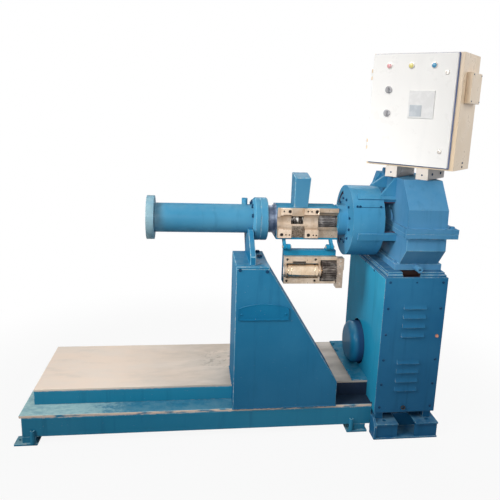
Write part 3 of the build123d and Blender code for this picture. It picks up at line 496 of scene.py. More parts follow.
def weld(bm, start, end, size):
    """A weld bead: a row of overlapping drops with the ripple of a hand-held torch."""
    start, end = spot(*start), spot(*end)
    count = max(2, round((end - start).length / (drop_pitch * mm)))
    for number in range(count + 1):
        swell = 1 + 0.16 * math.sin(number * 1.7) + 0.1 * math.sin(number * 0.61)
        stamp(bm, drop_shape, start.lerp(end, number / count), end - start, size * swell)


post_low, post_high = reach("post_face_plates")
cheek_low = reach("post_side_plates")[0]
cap_low, cap_high = reach("post_top_plate")
saddle_low, saddle_high = reach("barrel_saddle")
sheet_low, sheet_high = reach("table_plate")
foot_bead, sheet_bead, cap_bead = bed_high.z + 1, sheet_high.z + 2, cap_high.z + 1
slant_foot = (post_high.x - 11, cheek_low.y + 1, 270)
cap_seam, saddle_seam, saddle_bead_end = cheek_low.y + 2, saddle_low.x + 1, 20
beads = bmesh.new()
weld(beads, (post_low.x, post_low.y, foot_bead), (post_high.x, post_low.y, foot_bead), 3.4)
weld(beads, (post_low.x, post_high.y, sheet_bead), (post_low.x, sheet_low.y + 2, sheet_bead), 3.4)
weld(beads, (cap_high.x, cheek_low.y + 1, cap_low.z), slant_foot, 3)
weld(beads, (cap_low.x - 1, cap_seam, cap_bead), (saddle_seam, cap_seam, cap_bead), 3)
weld(beads, (saddle_seam, saddle_low.y, cap_bead), (saddle_seam, saddle_bead_end, cap_bead), 3.5)
stand("post_welds", beads, post_enamel, "machine", "blue_paint")

to_front = Vector((0, -1, 0))
face_bolt_size, saddle_bolt_size, saddle_bolt_gap = 6.2, 11, 35
bolts = bmesh.new()
for x, z in ((cap_low.x + 16, cap_low.z - 4), (cap_high.x - 11, cap_low.z - 11)):
    stamp(bolts, bolt_shape, spot(x, post_low.y, z), to_front, face_bolt_size, x)
for y, turn in ((-80, 0.4), (10, 0.9)):
    stamp(bolts, bolt_shape, spot(saddle_high.x + saddle_bolt_gap, y, cap_high.z), up, saddle_bolt_size, turn)
dark_enamel = blue_enamel("bolt_enamel", 0.1, 0.8, tone(24, 62, 96), tone(30, 74, 110))
stand("post_bolts", bolts, dark_enamel, "machine", "blue_paint")

# Badge plate: a cast plate with an arched top and a plain sunk face, held to the
# post's front by two rivets. It is painted with the post.
to_back = Vector((0, 1, 0))
badge_left, badge_right = post_low.x + 14, post_low.x + 244
badge_foot, badge_shoulder, badge_crown = 590, 646, 668
badge_depth, badge_rim, badge_sink, badge_ease = 8, 9, 3, 1.5
least_angle, least_edge = 0.5, 4
arch_steps, arch_fullness = 12, 0.75
rivet_inset, rivet_size = 14, 5
rivet_shape = turned("rivet", [(0, 0), (1, 0), (0.95, 0.3), (0.7, 0.55), (0, 0.7)], 16)


def raised(bm, outline, push):
    """A plate: an outline filled and pushed out to its thickness."""
    face = bm.faces.new([bm.verts.new(point) for point in outline])
    pushed = bmesh.ops.extrude_face_region(bm, geom=[face])["geom"]
    bmesh.ops.translate(bm, vec=push, verts=[v for v in pushed if isinstance(v, bmesh.types.BMVert)])
    bmesh.ops.recalc_face_normals(bm, faces=bm.faces)


arch = [spot(x, post_low.y, badge_foot) for x in (badge_left, badge_right)]
for step in range(arch_steps + 1):
    share = step / arch_steps
    rise = (badge_crown - badge_shoulder) * math.sin(math.pi * share) ** arch_fullness
    arch.append(spot(badge_right + (badge_left - badge_right) * share, post_low.y, badge_shoulder + rise))
badge = bmesh.new()
raised(badge, arch, to_front * badge_depth * mm)
badge_face = min(badge.faces, key=lambda face: face.calc_center_median().y)
bmesh.ops.inset_individual(badge, faces=[badge_face], thickness=badge_rim * mm, depth=0.0)
bmesh.ops.translate(badge, vec=to_back * badge_sink * mm, verts=badge_face.verts)
eased(badge, [edge for edge in badge.edges if edge.is_manifold and edge.calc_face_angle() > least_angle
              and edge.calc_length() > least_edge * mm], badge_ease * mm)
for x in (badge_left + rivet_inset, badge_right - rivet_inset):
    middle = spot(x, post_low.y - badge_depth + badge_sink, (badge_foot + badge_shoulder) / 2)
    stamp(badge, rivet_shape, middle, to_front, rivet_size)
badge_enamel = blue_enamel("badge_enamel", 0.1, 0.9, tone(18, 104, 146), tone(32, 120, 160))
stand("badge_plate", badge, badge_enamel, "machine", "blue_paint")

# Barrel: a thick seamless tube between two turned flanges, painted in a paler copy of the blue as painted
# light, paler still towards the die with a painted highlight, and with a hose nipple on top. Hexagon bolts
# hold its rear flange to the saddle.
barrel_enamel = blue_enamel("barrel_enamel", 0.12, 0.4, tone(60, 130, 166), tone(78, 144, 178))
highlight_reach = 100
# Painted highlight: the barrel pales in clouds towards the die.
stained(barrel_enamel, tone(168, 192, 194), lambda tree, place, x, y, z: times(
    tree, fade(tree, x, highlight_reach, 0, 0.0, 0.62),
    fade(tree, grain(tree, place, 14, 5), 0.3, 0.6, 0.45, 1.0)))
softened(barrel_enamel, barrel=1.5, barrel_front_flange=2.5, barrel_rear_flange=2)
axis_height = sum(corner.z for corner in reach("barrel_front_flange")) / 2


def outward(degrees):
    """The way straight out from the barrel line, turned up from the front."""
    return Vector((0, -math.cos(math.radians(degrees)), math.sin(math.radians(degrees))))


def round_barrel(x, radius, degrees):
    """A place on a circle round the barrel line."""
    return spot(x, 0, axis_height) + outward(degrees) * radius * mm


to_die = Vector((-1, 0, 0))
flange_bolt_circle, flange_bolt_size = 83, 9
rear_face = reach("barrel_rear_flange")[0].x
bolts = bmesh.new()
for degrees in (20, 55, 90, 125, 160):
    stamp(bolts, bolt_shape, round_barrel(rear_face, flange_bolt_circle, degrees), to_die, flange_bolt_size,
          math.radians(degrees))
stand("rear_flange_bolts", bolts, dark_enamel, "machine", "blue_paint")

# Feed neck: a plain turned collar that was never painted and has gone to a
# blue-black scale.


def scaled_surface(tree, given):
    """Mill scale, rubbed through in clouds and along the turning marks."""
    where = place_on(tree)[0]
    rings = drawn_out(tree, where, (260, 5, 5))
    clouds = grain(tree, where, 24, 6, 0.65)
    colour = over(tree, fade(tree, clouds, 0.42, 0.72), given["Scale"], given["Rubbed"])
    colour = over(tree, fade(tree, rings, 0.55, 0.75, 0.0, 0.35), colour, given["Rubbed"])
    return colour, fade(tree, clouds, 0.3, 0.7, 0.34, 0.6), rings


scaled_metal = effect("scaled_metal", {"Scale": "Color", "Rubbed": "Color"}, scaled_surface)


def scaled(name, scale, rubbed, metallic=0.0, bump=0.3):
    """A dark finish of scale or grease that rubs through."""
    return coated(name, scaled_metal, {"Scale": scale, "Rubbed": rubbed}, bump, {"Metallic": metallic})


softened(scaled("black_scale", tone(80, 96, 122), tone(140, 154, 176), 0.35), feed_neck=1.5)

# Feed block: a machined casting. Its roller seats and front face are bare,
# warm with oil, and the outside keeps the blue enamel. Grub screws close the
# holes in its front.


def machined_surface(tree, given):
    """Cut steel with fine tool marks, warm in clouds, under patches of oil."""
    where = place_on(tree)[0]
    cuts = drawn_out(tree, where, (420, 8, 8), 3)
    film = grain(tree, where, 55, 6, 0.68)
    warmth = fade(tree, grain(tree, where, 21, 5, 0.6), 0.35, 0.66)
    colour = over(tree, warmth, given["Bright"], given["Warm"])
    colour = over(tree, fade(tree, cuts, 0.52, 0.74, 0.0, 0.16), colour, given["Oil"])
    colour = over(tree, times(tree, given["Oil Share"], fade(tree, film, 0.4, 0.76)), colour, given["Oil"])
    return colour, fade(tree, film, 0.3, 0.7, 0.26, 0.48), times(tree, cuts, 0.5)


machined_steel = effect("machined_steel", {"Bright": "Color", "Warm": "Color", "Oil": "Color",
                                           "Oil Share": "Float"}, machined_surface)


def off_axis(tree, y, z, axis_y=0.0):
    """The distance from a line along X at the barrel's height."""
    section = put(tree, "ShaderNodeCombineXYZ", {"Y": y, "Z": z}).outputs[0]
    return far_from(tree, section, (0, axis_y, axis_height))


paint_ends, saddle_skin, saddle_front = 610, -60.5, -62
saddle_foot, saddle_head = 932.5, 1075.5
bore_radius, seat_radius, seat_axis = 55.2, 53.5, -88
slot_start, slot_end, pocket_start, oil_line = 682, 742, 800, 984


def bare_faces(tree, place, x, y, z):
    """The faces that are cut bare: the saddles' fronts, the screw's bore and the roller's seat."""
    saddles = times(tree, fade(tree, y, saddle_skin, saddle_front), band(tree, z, saddle_foot, saddle_head))
    bore = fade(tree, off_axis(tree, y, z), bore_radius + 1, bore_radius)
    seat = fade(tree, off_axis(tree, y, z, seat_axis), seat_radius + 1, seat_radius)
    return times(tree, sum_up(tree, "MAXIMUM", saddles, bore, seat),
                 fade(tree, x, paint_ends - 0.5, paint_ends + 0.5))


def wetted(tree, place, x, y, z):
    """Speckled oil low in the feed slot and in the gear's pocket."""
    hollows = sum_up(tree, "MAXIMUM", band(tree, x, slot_start, slot_end, 2),
                     fade(tree, x, pocket_start, pocket_start + 10, 0.0, 0.45))
    speckle = fade(tree, grain(tree, place, 150, 6, 0.75), 0.34, 0.64, 0.45, 1.0)
    return times(tree, hollows, speckle, fade(tree, z, oil_line + 8, oil_line))


oil_brown = tone(122, 100, 84)
block_finish = blue_enamel("block_finish", 0.12, 0.6)
tree = block_finish.node_tree
block_inputs = tree.nodes["Principled BSDF"].inputs
paint = effect_in(block_finish).outputs
metal = put(tree, "ShaderNodeGroup", {"Bright": tone(232, 212, 191), "Warm": tone(214, 189, 163),
                                      "Oil": oil_brown, "Oil Share": 0.22}, node_tree=machined_steel).outputs
place = place_on(tree)
bare = bare_faces(tree, *place)
# Painted shade: the bare faces set deeper in are a little darker.
recess_shade = fade(tree, place[2], -78.5, -64)
worked = over(tree, recess_shade, metal["Colour"], tone(222, 223, 224), "MULTIPLY")
worked = over(tree, wetted(tree, *place), worked, tone(104, 108, 112), "MULTIPLY")
rough = put(tree, "ShaderNodeMix", {0: bare, 2: paint["Roughness"], 3: metal["Roughness"]}, data_type="FLOAT")
tree.links.new(over(tree, bare, paint["Colour"], worked), block_inputs["Base Color"])
tree.links.new(rough.outputs[0], block_inputs["Roughness"])
tree.links.new(times(tree, bare, 0.6), block_inputs["Metallic"])
tree.links.new(fade(tree, bare, 0.0, 1.0, 0.05, 0.0), block_inputs["Coat Weight"])
softened(block_finish, feed_block=1.2)

grub_shape = turned("grub_screw", [(0, 0), (0.97, 0), (0.97, 0.3), (0.88, 0.38), (0.52, 0.38), (0.46, 0.08),
                                   (0, 0.08)], 18)
grub_seat = -70
grubs = bmesh.new()
for radius, places in ((9, ((60, 50), (191, 51), (24, -62), (154, -63))),
                       (4.5, ((32, 51), (147, 52), (165, 52), (45, -62), (62, -63), (178, -63), (193, -64)))):
    for along, rise in places:
        stamp(grubs, grub_shape, spot(paint_ends + along, grub_seat, axis_height + rise), to_front, radius)
grub_steel = scaled("grub_steel", tone(26, 22, 22), tone(58, 50, 46), 0.3)
stand("saddle_grub_screws", grubs, grub_steel, "machine", "dark_gear")

# Feed guide: a block bolted on the feed block that leads the rubber strip in.
# Sawn from bar, rounded by hand and painted.
softened(blue_enamel("guide_enamel", 0.12, 0.6, tone(58, 122, 158), tone(74, 134, 168)), feed_guide=3)

# Roller housing: an open frame with a heavy back that swings down on two pins. The front is ground steel gone
# warm with oil, with a near-black strip over the roller as painted shade in the gap there, and the back is
# painted.


def machined(name, bright, warm, oil, oil_share, metallic, bump=0.3):
    """Bare cut steel with its own colours and share of oil."""
    return coated(name, machined_steel, {"Bright": bright, "Warm": warm, "Oil": oil, "Oil Share": oil_share},
                  bump, {"Metallic": metallic})


ground_steel = machined("ground_steel", tone(212, 194, 174), tone(194, 172, 148), oil_brown, 0.35, 0.6)
sawn_steel = machined("sawn_steel", tone(192, 174, 158), tone(176, 156, 138), oil_brown, 0.4, 0.6, 0.4)
pin_steel = machined("pin_steel", tone(214, 208, 200), tone(190, 176, 160), tone(90, 80, 72), 0.6, 0.85)
softened(ground_steel, roller_frame=1.5, roller_bearing_caps=1)
softened(sawn_steel, roller_end_plate=2)
softened(blue_enamel("housing_enamel", 0.15, 0.7), roller_housing_back=2.5)
softened(pin_steel, hinge_pin=1)

cap_shape = turned("cap_screw", [(0, 0), (1, 0), (1, 0.86), (0.9, 1), (0.56, 1), (0.5, 0.5), (0, 0.44)], 18)
end_low, end_high = reach("roller_end_plate")
end_screw_size = 4.8
screws = bmesh.new()
for z in (712, 760, 800, 826):
    stamp(screws, cap_shape, spot((end_low.x + end_high.x) / 2, end_low.y, z), to_front, end_screw_size)
stand("end_plate_screws", screws, pin_steel, "roller_housing", "machined_face")


def plate(bm, low, high, ease):
    """A flat plate between two corners, with its edges eased."""
    middle, size = (low + high) / 2, high - low
    made = bmesh.ops.create_cube(bm, size=1, matrix=Matrix.Translation(middle) @ Matrix.Diagonal((*size, 1)))
    eased(bm, list({edge for vert in made["verts"] for edge in vert.link_edges}), ease * mm)


# A near-black strip over the roller where the gap above it lies in shade: painted shade.
slot_shade_low, slot_shade_high, slot_shade_ease = spot(690, -92, 812.5), spot(754, -90, 821), 0.4
slot_shade_strip = bmesh.new()
plate(slot_shade_strip, slot_shade_low, slot_shade_high, slot_shade_ease)
slot_shade_black = scaled("slot_shade_black", tone(24, 22, 22), tone(48, 44, 42), bump=0.2)
stand("roller_slot_shade", slot_shade_strip, slot_shade_black, "roller_housing", "black_plastic")

# Feed roller and its gear: a turned and polished roller on plain journals,
# driven by a spur gear that is black with grease.
roller_steel = machined("roller_steel", tone(238, 218, 192), tone(228, 202, 172), tone(150, 122, 98), 0.2,
                        0.95, 0.2)
driven(roller_steel, roller_steel.node_tree.nodes["Principled BSDF"].inputs["Roughness"],
       lambda tree, place, x, y, z: fade(tree, drawn_out(tree, place, (160, 6, 6), 3), 0.3, 0.7, 0.12, 0.24))
softened(roller_steel, feed_roller=1)
softened(scaled("greased_gear", tone(80, 72, 68), tone(168, 158, 150), 0.6, 0.4), roller_gear=0.6)

# Screw: a single-flight steel screw in the barrel, keyed to a second spur gear
# of the same size. It shows bright in the feed slot.
screw_steel = machined("screw_steel", tone(240, 240, 236), tone(216, 212, 204), tone(96, 88, 82), 0.25, 0.9)
flight_edge, flight_root = 46, 36
# Painted shade: the screw's root between the flights is darker, in streaks.
stained(screw_steel, tone(70, 64, 62), lambda tree, place, x, y, z: times(
    tree, fade(tree, off_axis(tree, y, z), flight_edge, flight_root),
    fade(tree, drawn_out(tree, place, (90, 60, 25), 2), 0.44, 0.52)))


def dressed(material, *nodes):
    """CAD nodes that keep their mesh and get a finish."""
    for node in nodes:
        for holder in frame["nodes"][node].material_slots:
            holder.material = material


dressed(screw_steel, "screw")
softened(scaled("oiled_gear", tone(106, 102, 102), tone(190, 186, 182), 0.6, 0.4), screw_gear=0.6)

# Lantern housing: a fabricated drum with four arms and three upright ribs that
# ties the feed block to the gearbox. Inside, it was left in red primer, and a
# thin sheet ring behind the slots keeps splashes out.
# The drum's enamel is a paler copy of the blue: painted light.
lantern_enamel = blue_enamel("lantern_enamel", 0.12, 0.45, tone(58, 132, 174), tone(74, 146, 184))
drum_bore, drum_wall = 160, 956
stained(lantern_enamel, tone(104, 66, 76), lambda tree, place, x, y, z: times(
    tree, fade(tree, off_axis(tree, y, z), drum_bore + 0.5, drum_bore - 0.5),
    fade(tree, x, drum_wall - 1, drum_wall + 1),
    fade(tree, grain(tree, place, 18, 5), 0.2, 0.4, 0.75, 1.0)))
softened(lantern_enamel, lantern_housing=2.5)

drum_face, drum_radius = 953, 172
drum_bolt_circle, drum_bolts, drum_bolt_size = 108, 12, 6.2
rim_screw_angle, rim_screw_size = 32, 5.2
bolts = bmesh.new()
for number in range(drum_bolts):
    degrees = (number + 0.5) * 360 / drum_bolts
    stamp(bolts, cap_shape, round_barrel(drum_face, drum_bolt_circle, degrees), to_die, drum_bolt_size)
for x in (972, 986, 1086):
    stamp(bolts, cap_shape, round_barrel(x, drum_radius, rim_screw_angle), outward(rim_screw_angle),
          rim_screw_size)
stand("drum_bolts", bolts, dark_enamel, "machine", "blue_paint")

primer = enamel("red_primer", (tone(122, 58, 56), tone(140, 74, 70), tone(90, 60, 56), tone(150, 110, 100),
                               tone(150, 92, 84)), 0.6, 0.2, 0.2, {"Specular IOR Level": 0.1})
shield_place, shield_bore, shield_radius, shield_sheet, shield_ease = 971.6, 94, 157, 2, 1
shield_shape = turned("slot_shield", [
    (shield_bore, 0), (shield_radius, 0), (shield_radius, 1.2), (shield_radius - shield_ease, shield_sheet),
    (shield_bore + shield_ease, shield_sheet), (shield_bore, 1.2), (shield_bore, 0)], 48)
shield = bmesh.new()
stamp(shield, shield_shape, spot(shield_place, 0, axis_height), -to_die, 1)
stand("slot_shield", shield, primer, "machine", "blue_paint")

seam_place, seam_angle, seam_proud = 1038, 31, 0.1
seam_size = Vector((128, 2.4, 1.2)) * mm
seam = bmesh.new()
bmesh.ops.create_cube(seam, size=1, matrix=Matrix.Translation(
    round_barrel(seam_place, drum_radius + seam_proud, seam_angle))
    @ up.rotation_difference(outward(seam_angle)).to_matrix().to_4x4() @ Matrix.Diagonal((*seam_size, 1)))
stand("drum_seam", seam, dark_enamel, "machine", "blue_paint")

# Gearbox: a split cast-iron casing on a foot flange, its edges rounded in the pattern, in a paler copy of the
# blue as painted light, with a painted highlight along its edges. Bolts clamp the split line.
gearbox_enamel = blue_enamel("gearbox_enamel", 0.15, 0.4, tone(74, 136, 178), tone(92, 150, 190))
softened(gearbox_enamel, gearbox_lower_casing=4, gearbox_upper_casing=5, drain_plug=1.5)
casing_low, casing_high = reach("gearbox_lower_casing")
split_height, split_flange, split_bolt_inset, split_bolt_size = casing_high.z, 22, 9, 7.2
tail_bolt_inset, tail_bolt_size = 21, 12
foot_flange, foot_bolt_size = 29, 8.5
down = Vector((0, 0, -1))
split_bolt_places, tail_bolt_places = (1168, 1270, 1340), (-290, -140, 140, 290)
foot_bolt_places = ((1154, -200), (1154, 200), (1364, -200), (1364, 200), (1364, 0))
bolts = bmesh.new()
for x in split_bolt_places:
    for y in (casing_low.y + split_bolt_inset, casing_high.y - split_bolt_inset):
        stamp(bolts, bolt_shape, spot(x, y, split_height + split_flange), up, split_bolt_size, x * 0.1)
        stamp(bolts, bolt_shape, spot(x, y, split_height - split_flange), down, split_bolt_size, x * 0.2)
for y in tail_bolt_places:
    stamp(bolts, bolt_shape, spot(casing_high.x - tail_bolt_inset, y, split_height + split_flange), up,
          tail_bolt_size, y * 0.1)
for x, y in foot_bolt_places:
    stamp(bolts, bolt_shape, spot(x, y, casing_low.z + foot_flange), up, foot_bolt_size, x * 0.1)
stand("gearbox_bolts", bolts, gearbox_enamel, "machine", "blue_paint")

# Motor cabinet: folded sheet side panels and screwed covers on a channel
# frame, with pressed louvres in the front cover and blanking plates in the
# channels' mouths. The motor sits inside.
cabinet_enamel = blue_enamel("cabinet_enamel", 0.15, 0.4, tone(34, 102, 146), tone(46, 116, 158))
softened(cabinet_enamel, cabinet_covers=0.8, cabinet_feet=2, cabinet_bearers=2)
# The side panels take a lighter, lit copy of the cabinet's blue: painted light.
lit_side_enamel = blue_enamel("cabinet_side_lit_enamel", 0.15, 0.4, tone(36, 150, 188), tone(50, 162, 198))
softened(lit_side_enamel, cabinet_side_panels=1.2)
sole_enamel = blue_enamel("sole_enamel", 0.15, 0.4, tone(38, 98, 140), tone(50, 110, 152))
notch_shade_left, notch_shade_right, notch_shade_front, notch_shade_back = 1170, 1256, -279, -240
# Painted shade: the sole plate's notch is darkened.
stained(sole_enamel, tone(46, 32, 30), lambda tree, place, x, y, z: times(
    tree, band(tree, x, notch_shade_left, notch_shade_right), band(tree, y, notch_shade_front, notch_shade_back)))
softened(sole_enamel, sole_plate=2, cabinet_top_plate=1.5)
dressed(cabinet_enamel, "cabinet_floor", "motor_shelf")
motor_enamel = blue_enamel("motor_enamel", 0.2, 0.5, coat=0.3)
shade_from, shade_full = 1045, 1070
# Painted shade darkens the motor's right side, towards the cabinet.
stained(motor_enamel, tone(36, 62, 104), lambda tree, place, x, y, z: fade(
    tree, x, shade_from, shade_full, 0.0, 0.85))
dressed(motor_enamel, "motor", "motor_cowl")

toe_inner, toe_outer, toe_foot, toe_head, toe_ease = 317, 324, 7, 73, 1.2
toes = bmesh.new()
for start, end in ((1094, 1200), (1288, 1401)):
    for near, far in ((-toe_outer, -toe_inner), (toe_inner, toe_outer)):
        plate(toes, spot(start, near, toe_foot), spot(end, far, toe_head), toe_ease)
stand("foot_toe_plates", toes, cabinet_enamel, "machine", "blue_paint")

pan_shape = turned("pan_screw", [(0, 0), (1, 0), (0.96, 0.26), (0.72, 0.5), (0.3, 0.6), (0, 0.6)], 18)
cover_low, cover_high = reach("cabinet_covers")
cover_front, cover_back = -cover_high.y, cover_high.y
screw_left, screw_right = cover_low.x + 23, cover_high.x - 23
screw_rows = (778, 651, 523, 394, 269, 150)
earth_row = screw_rows[2]
cover_screw_size, top_screw_size, side_screw_size = 6.2, 4.5, 5.5
screws = bmesh.new()
for x in (screw_left, screw_right):
    for z in screw_rows:
        if (x, z) != (screw_right, earth_row):
            stamp(screws, pan_shape, spot(x, cover_front, z), to_front, cover_screw_size)
        stamp(screws, pan_shape, spot(x, cover_back, z), to_back, cover_screw_size)
stamp(screws, pan_shape, spot((screw_left + screw_right) / 2, cover_front, screw_rows[0]), to_front,
      top_screw_size)
for y, z in ((16, 793), (-126, 786), (180, 790), (-250, 150), (250, 150)):
    stamp(screws, pan_shape, spot(cover_low.x, y, z), to_die, side_screw_size)
stand("cover_screws", screws, dark_enamel, "machine", "blue_paint")

# Earth bolt and grommet: a copper-plated bolt takes the place of one cover
# screw, and a moulded rubber ring sits low on the front cover.
copper = machined("copper_bolt_metal", tone(226, 172, 146), tone(196, 132, 104), tone(96, 60, 46), 0.4, 0.8)
earth_bolt_size, earth_bolt_turn, earth_bolt_stretch = 6.4, 0.4, 1.6
bolts = bmesh.new()
stamp(bolts, bolt_shape, spot(screw_right - 4, cover_front, earth_row - 9), to_front, earth_bolt_size,
      earth_bolt_turn, earth_bolt_stretch)
stand("earth_bolt", bolts, copper, "machine", "blue_paint")


def moulded_surface(tree, given):
    """A moulded skin with a fine grain, worn paler in clouds."""
    where = place_on(tree)[0]
    fine = grain(tree, where, 620, 3)
    colour = over(tree, fade(tree, grain(tree, where, 40), 0.4, 0.75), given["Skin"], given["Worn"])
    return colour, fade(tree, fine, 0.3, 0.7, 0.34, 0.5), fine


moulded_skin = effect("moulded", {"Skin": "Color", "Worn": "Color"}, moulded_surface)


def moulded(name, skin, worn, coat=0.0, bump=0.2):
    """Rubber or plastic with its own gloss."""
    return coated(name, moulded_skin, {"Skin": skin, "Worn": worn}, bump, {"Coat Weight": coat})


grommet_shape = turned("grommet", [(0.62, 0), (1, 0), (1, 0.5), (0.8, 0.8), (0.62, 0.7), (0.5, 0.2),
                                   (0.62, 0)], 20)
grommet_place, grommet_height, grommet_radius = 1229, 146, 11
grommet = bmesh.new()
stamp(grommet, grommet_shape, spot(grommet_place, cover_front, grommet_height), to_front, grommet_radius)
stand("cable_grommet", grommet, moulded("black_rubber", tone(22, 22, 26), tone(44, 44, 48)), "machine",
      "black_plastic")

# Panel stand: two short box rails in undercoat, set across the gearbox top and screwed together. Their
# right-hand flanks are painted grey as painted shade.
panel_turn = math.radians(44)
enclosure_low = reach("panel_enclosure")[0]
panel_corner = spot(enclosure_low.x, 7, enclosure_low.z)
panel_out = Vector((-math.sin(panel_turn), -math.cos(panel_turn), 0))
panel_right = Vector((math.cos(panel_turn), -math.sin(panel_turn), 0))
panel_width = 426
rail_starts, rail_width = [share * panel_width for share in (0.24, 0.6)], 60


def panel_spot(across, deep, rise):
    """A place in mm from the panel's lower front corner: along its face, inwards and up."""
    return panel_corner + (panel_right * across - panel_out * deep + up * rise) * mm


def shaded_rail_flanks(tree, place, x, y, z):
    """The right-hand flanks of both rails, which take the painted shade."""
    from_corner = put(tree, "ShaderNodeVectorMath", {0: place, 1: panel_corner}, operation="SUBTRACT")
    across = put(tree, "ShaderNodeVectorMath", {0: from_corner.outputs[0], 1: panel_right / mm},
                 operation="DOT_PRODUCT").outputs["Value"]
    flanks = [start + rail_width for start in rail_starts]
    return sum_up(tree, "MAXIMUM", *[band(tree, across, flank - 0.7, flank + 2) for flank in flanks])


stand_paint = enamel("stand_undercoat", (tone(230, 220, 210), tone(238, 229, 220), tone(120, 112, 104),
                                         tone(232, 224, 214), tone(232, 224, 214)), 0.5, 0.15, 0.3, {}, 0.5)
stained(stand_paint, tone(166, 160, 160), shaded_rail_flanks)
softened(stand_paint, panel_rails=3)
front_screw_rise, front_screw_size = -30, 4
flank_screw_rise, flank_screw_size = -27, 6.5
screws = bmesh.new()
for start in rail_starts:
    stamp(screws, pan_shape, panel_spot(start + rail_width / 2, 0, front_screw_rise), panel_out,
          front_screw_size)
for deep in (50, 160):
    stamp(screws, pan_shape, panel_spot(rail_starts[1] + rail_width, deep, flank_screw_rise), panel_right,
          flank_screw_size)
stand("stand_screws", screws, dark_enamel, "machine", "stand_paint")

# Control panel: a welded sheet enclosure with a lift-off door on two hinges. Cream enamel, with a whiter, lit
# copy of it on the door as painted light, and a rubber seal all round.
cream = enamel("panel_cream", (tone(234, 210, 178), tone(238, 216, 188), tone(150, 140, 128),
                               tone(216, 206, 190), tone(248, 238, 222)), 0.12, 0.04, 0.25,
               {"Coat Weight": 0.25, "Coat Roughness": 0.2})
lit_door_paint = enamel("door_lit_white", (tone(250, 249, 247), tone(252, 251, 249), tone(170, 165, 158),
                              tone(220, 214, 204), tone(250, 249, 246)), 0.06, 0.03, 0.1,
               {"Coat Weight": 0.3, "Coat Roughness": 0.2})
softened(cream, panel_enclosure=1.2, panel_side_box=4)
softened(lit_door_paint, panel_door=3)
softened(cream, panel_hinges=0.6)

seal_left, seal_right, seal_foot, seal_head = 12, 404.5, 9.5, 505
seal_deep, seal_radius = -3, 2.6
seal = bmesh.new()
for (across, rise), way, length in (((seal_right, seal_foot), up, seal_head - seal_foot),
                                    ((seal_left, seal_foot), panel_right, seal_right - seal_left),
                                    ((seal_left, seal_head), panel_right, seal_right - seal_left)):
    bar_shape = turned("seal_bar", [(0, 0), (seal_radius, 0), (seal_radius, length), (0, length)], 10)
    stamp(seal, bar_shape, panel_spot(across, seal_deep, rise), way, 1)
seal_rubber = moulded("seal_rubber", tone(98, 118, 170), tone(126, 146, 190))
stand("door_seal", seal, seal_rubber, "machine", "black_plastic")

box_side, box_screw_size, low_screw_deep, low_screw_size = 454, 3.5, 118, 5
screws = bmesh.new()
for deep, rise in ((58, 306), (170, 306), (58, 420), (170, 420)):
    stamp(screws, pan_shape, panel_spot(box_side, deep, rise), panel_right, box_screw_size)
for rise in (14, 32):
    stamp(screws, pan_shape, panel_spot(panel_width, low_screw_deep, rise), panel_right, low_screw_size)
stand("panel_screws", screws, dark_enamel, "machine", "lock_metal")

# Door fittings: three pilot lamps with plastic lenses in bright bezels, two
# selector switches, a display in a plastic frame and two quarter-turn locks.
chrome = machined("lock_chrome", tone(216, 214, 210), tone(196, 190, 184), tone(120, 116, 110), 0.3, 0.95,
                  0.1)
door_face, lamp_height = -18.3, 453
bezel_shape = turned("bezel", [(0, 0), (14.5, 0), (14.5, 3), (13.5, 4.8), (11.2, 5.2), (10.8, 3), (0, 3)], 32)
lens_shape = turned("lens", [(0, 2.8), (10.8, 2.8), (10.8, 6.6), (9.8, 8.8), (6.6, 9.8), (0, 10)], 32)
bezels = bmesh.new()
for name, share, skin, worn in (("red", 0.213, tone(230, 146, 152), tone(242, 192, 194)),
                                ("yellow", 0.46, tone(240, 226, 124), tone(248, 238, 180)),
                                ("blue", 0.709, tone(20, 132, 186), tone(66, 172, 214))):
    at = panel_spot(share * panel_width, door_face, lamp_height)
    stamp(bezels, bezel_shape, at, panel_out, 1)
    lens = bmesh.new()
    stamp(lens, lens_shape, at, panel_out, 1)
    stand("lamp_lens_" + name, lens, moulded("lens_" + name, skin, worn, 0.6, 0.1), "panel_door",
          "lamp_plastic", "pilot_lamps")
stand("lamp_bezels", bezels, chrome, "panel_door", "lamp_plastic", "pilot_lamps")

knob_plastic = moulded("knob_plastic", tone(168, 168, 172), tone(192, 192, 196))
softened(knob_plastic, selector_upper=1.5, selector_lower=1.5)

lock_shape = turned("quarter_turn", [(0, 0), (10, 0), (10, 3.5), (8.5, 5.5), (5, 6), (4.5, 3), (0, 3)], 24)
lock_across = 362
locks = bmesh.new()
for rise in (83, 423):
    stamp(locks, lock_shape, panel_spot(lock_across, door_face, rise), panel_out, 1)
stand("door_lock_barrels", locks, chrome, "panel_door", "lock_metal", "door_locks")

softened(moulded("display_plastic", tone(232, 232, 232), tone(242, 242, 242), 0.3), panel_display=1.5)
screen_left, screen_right, screen_foot, screen_head = 206, 262, 232, 282
screen_deep, screen_thickness, screen_ease = door_face - 5.1, 1.2, 0.5
screen = bmesh.new()
raised(screen, [panel_spot(across, screen_deep, rise) for across, rise in (
    (screen_left, screen_foot), (screen_right, screen_foot), (screen_right, screen_head),
    (screen_left, screen_head))], panel_out * screen_thickness * mm)
eased(screen, list(screen.edges), screen_ease * mm)
screen_glass = moulded("screen_glass", tone(186, 194, 202), tone(206, 212, 218), 0.8, 0.05)
stand("display_screen", screen, screen_glass, "panel_door", "display_plastic")

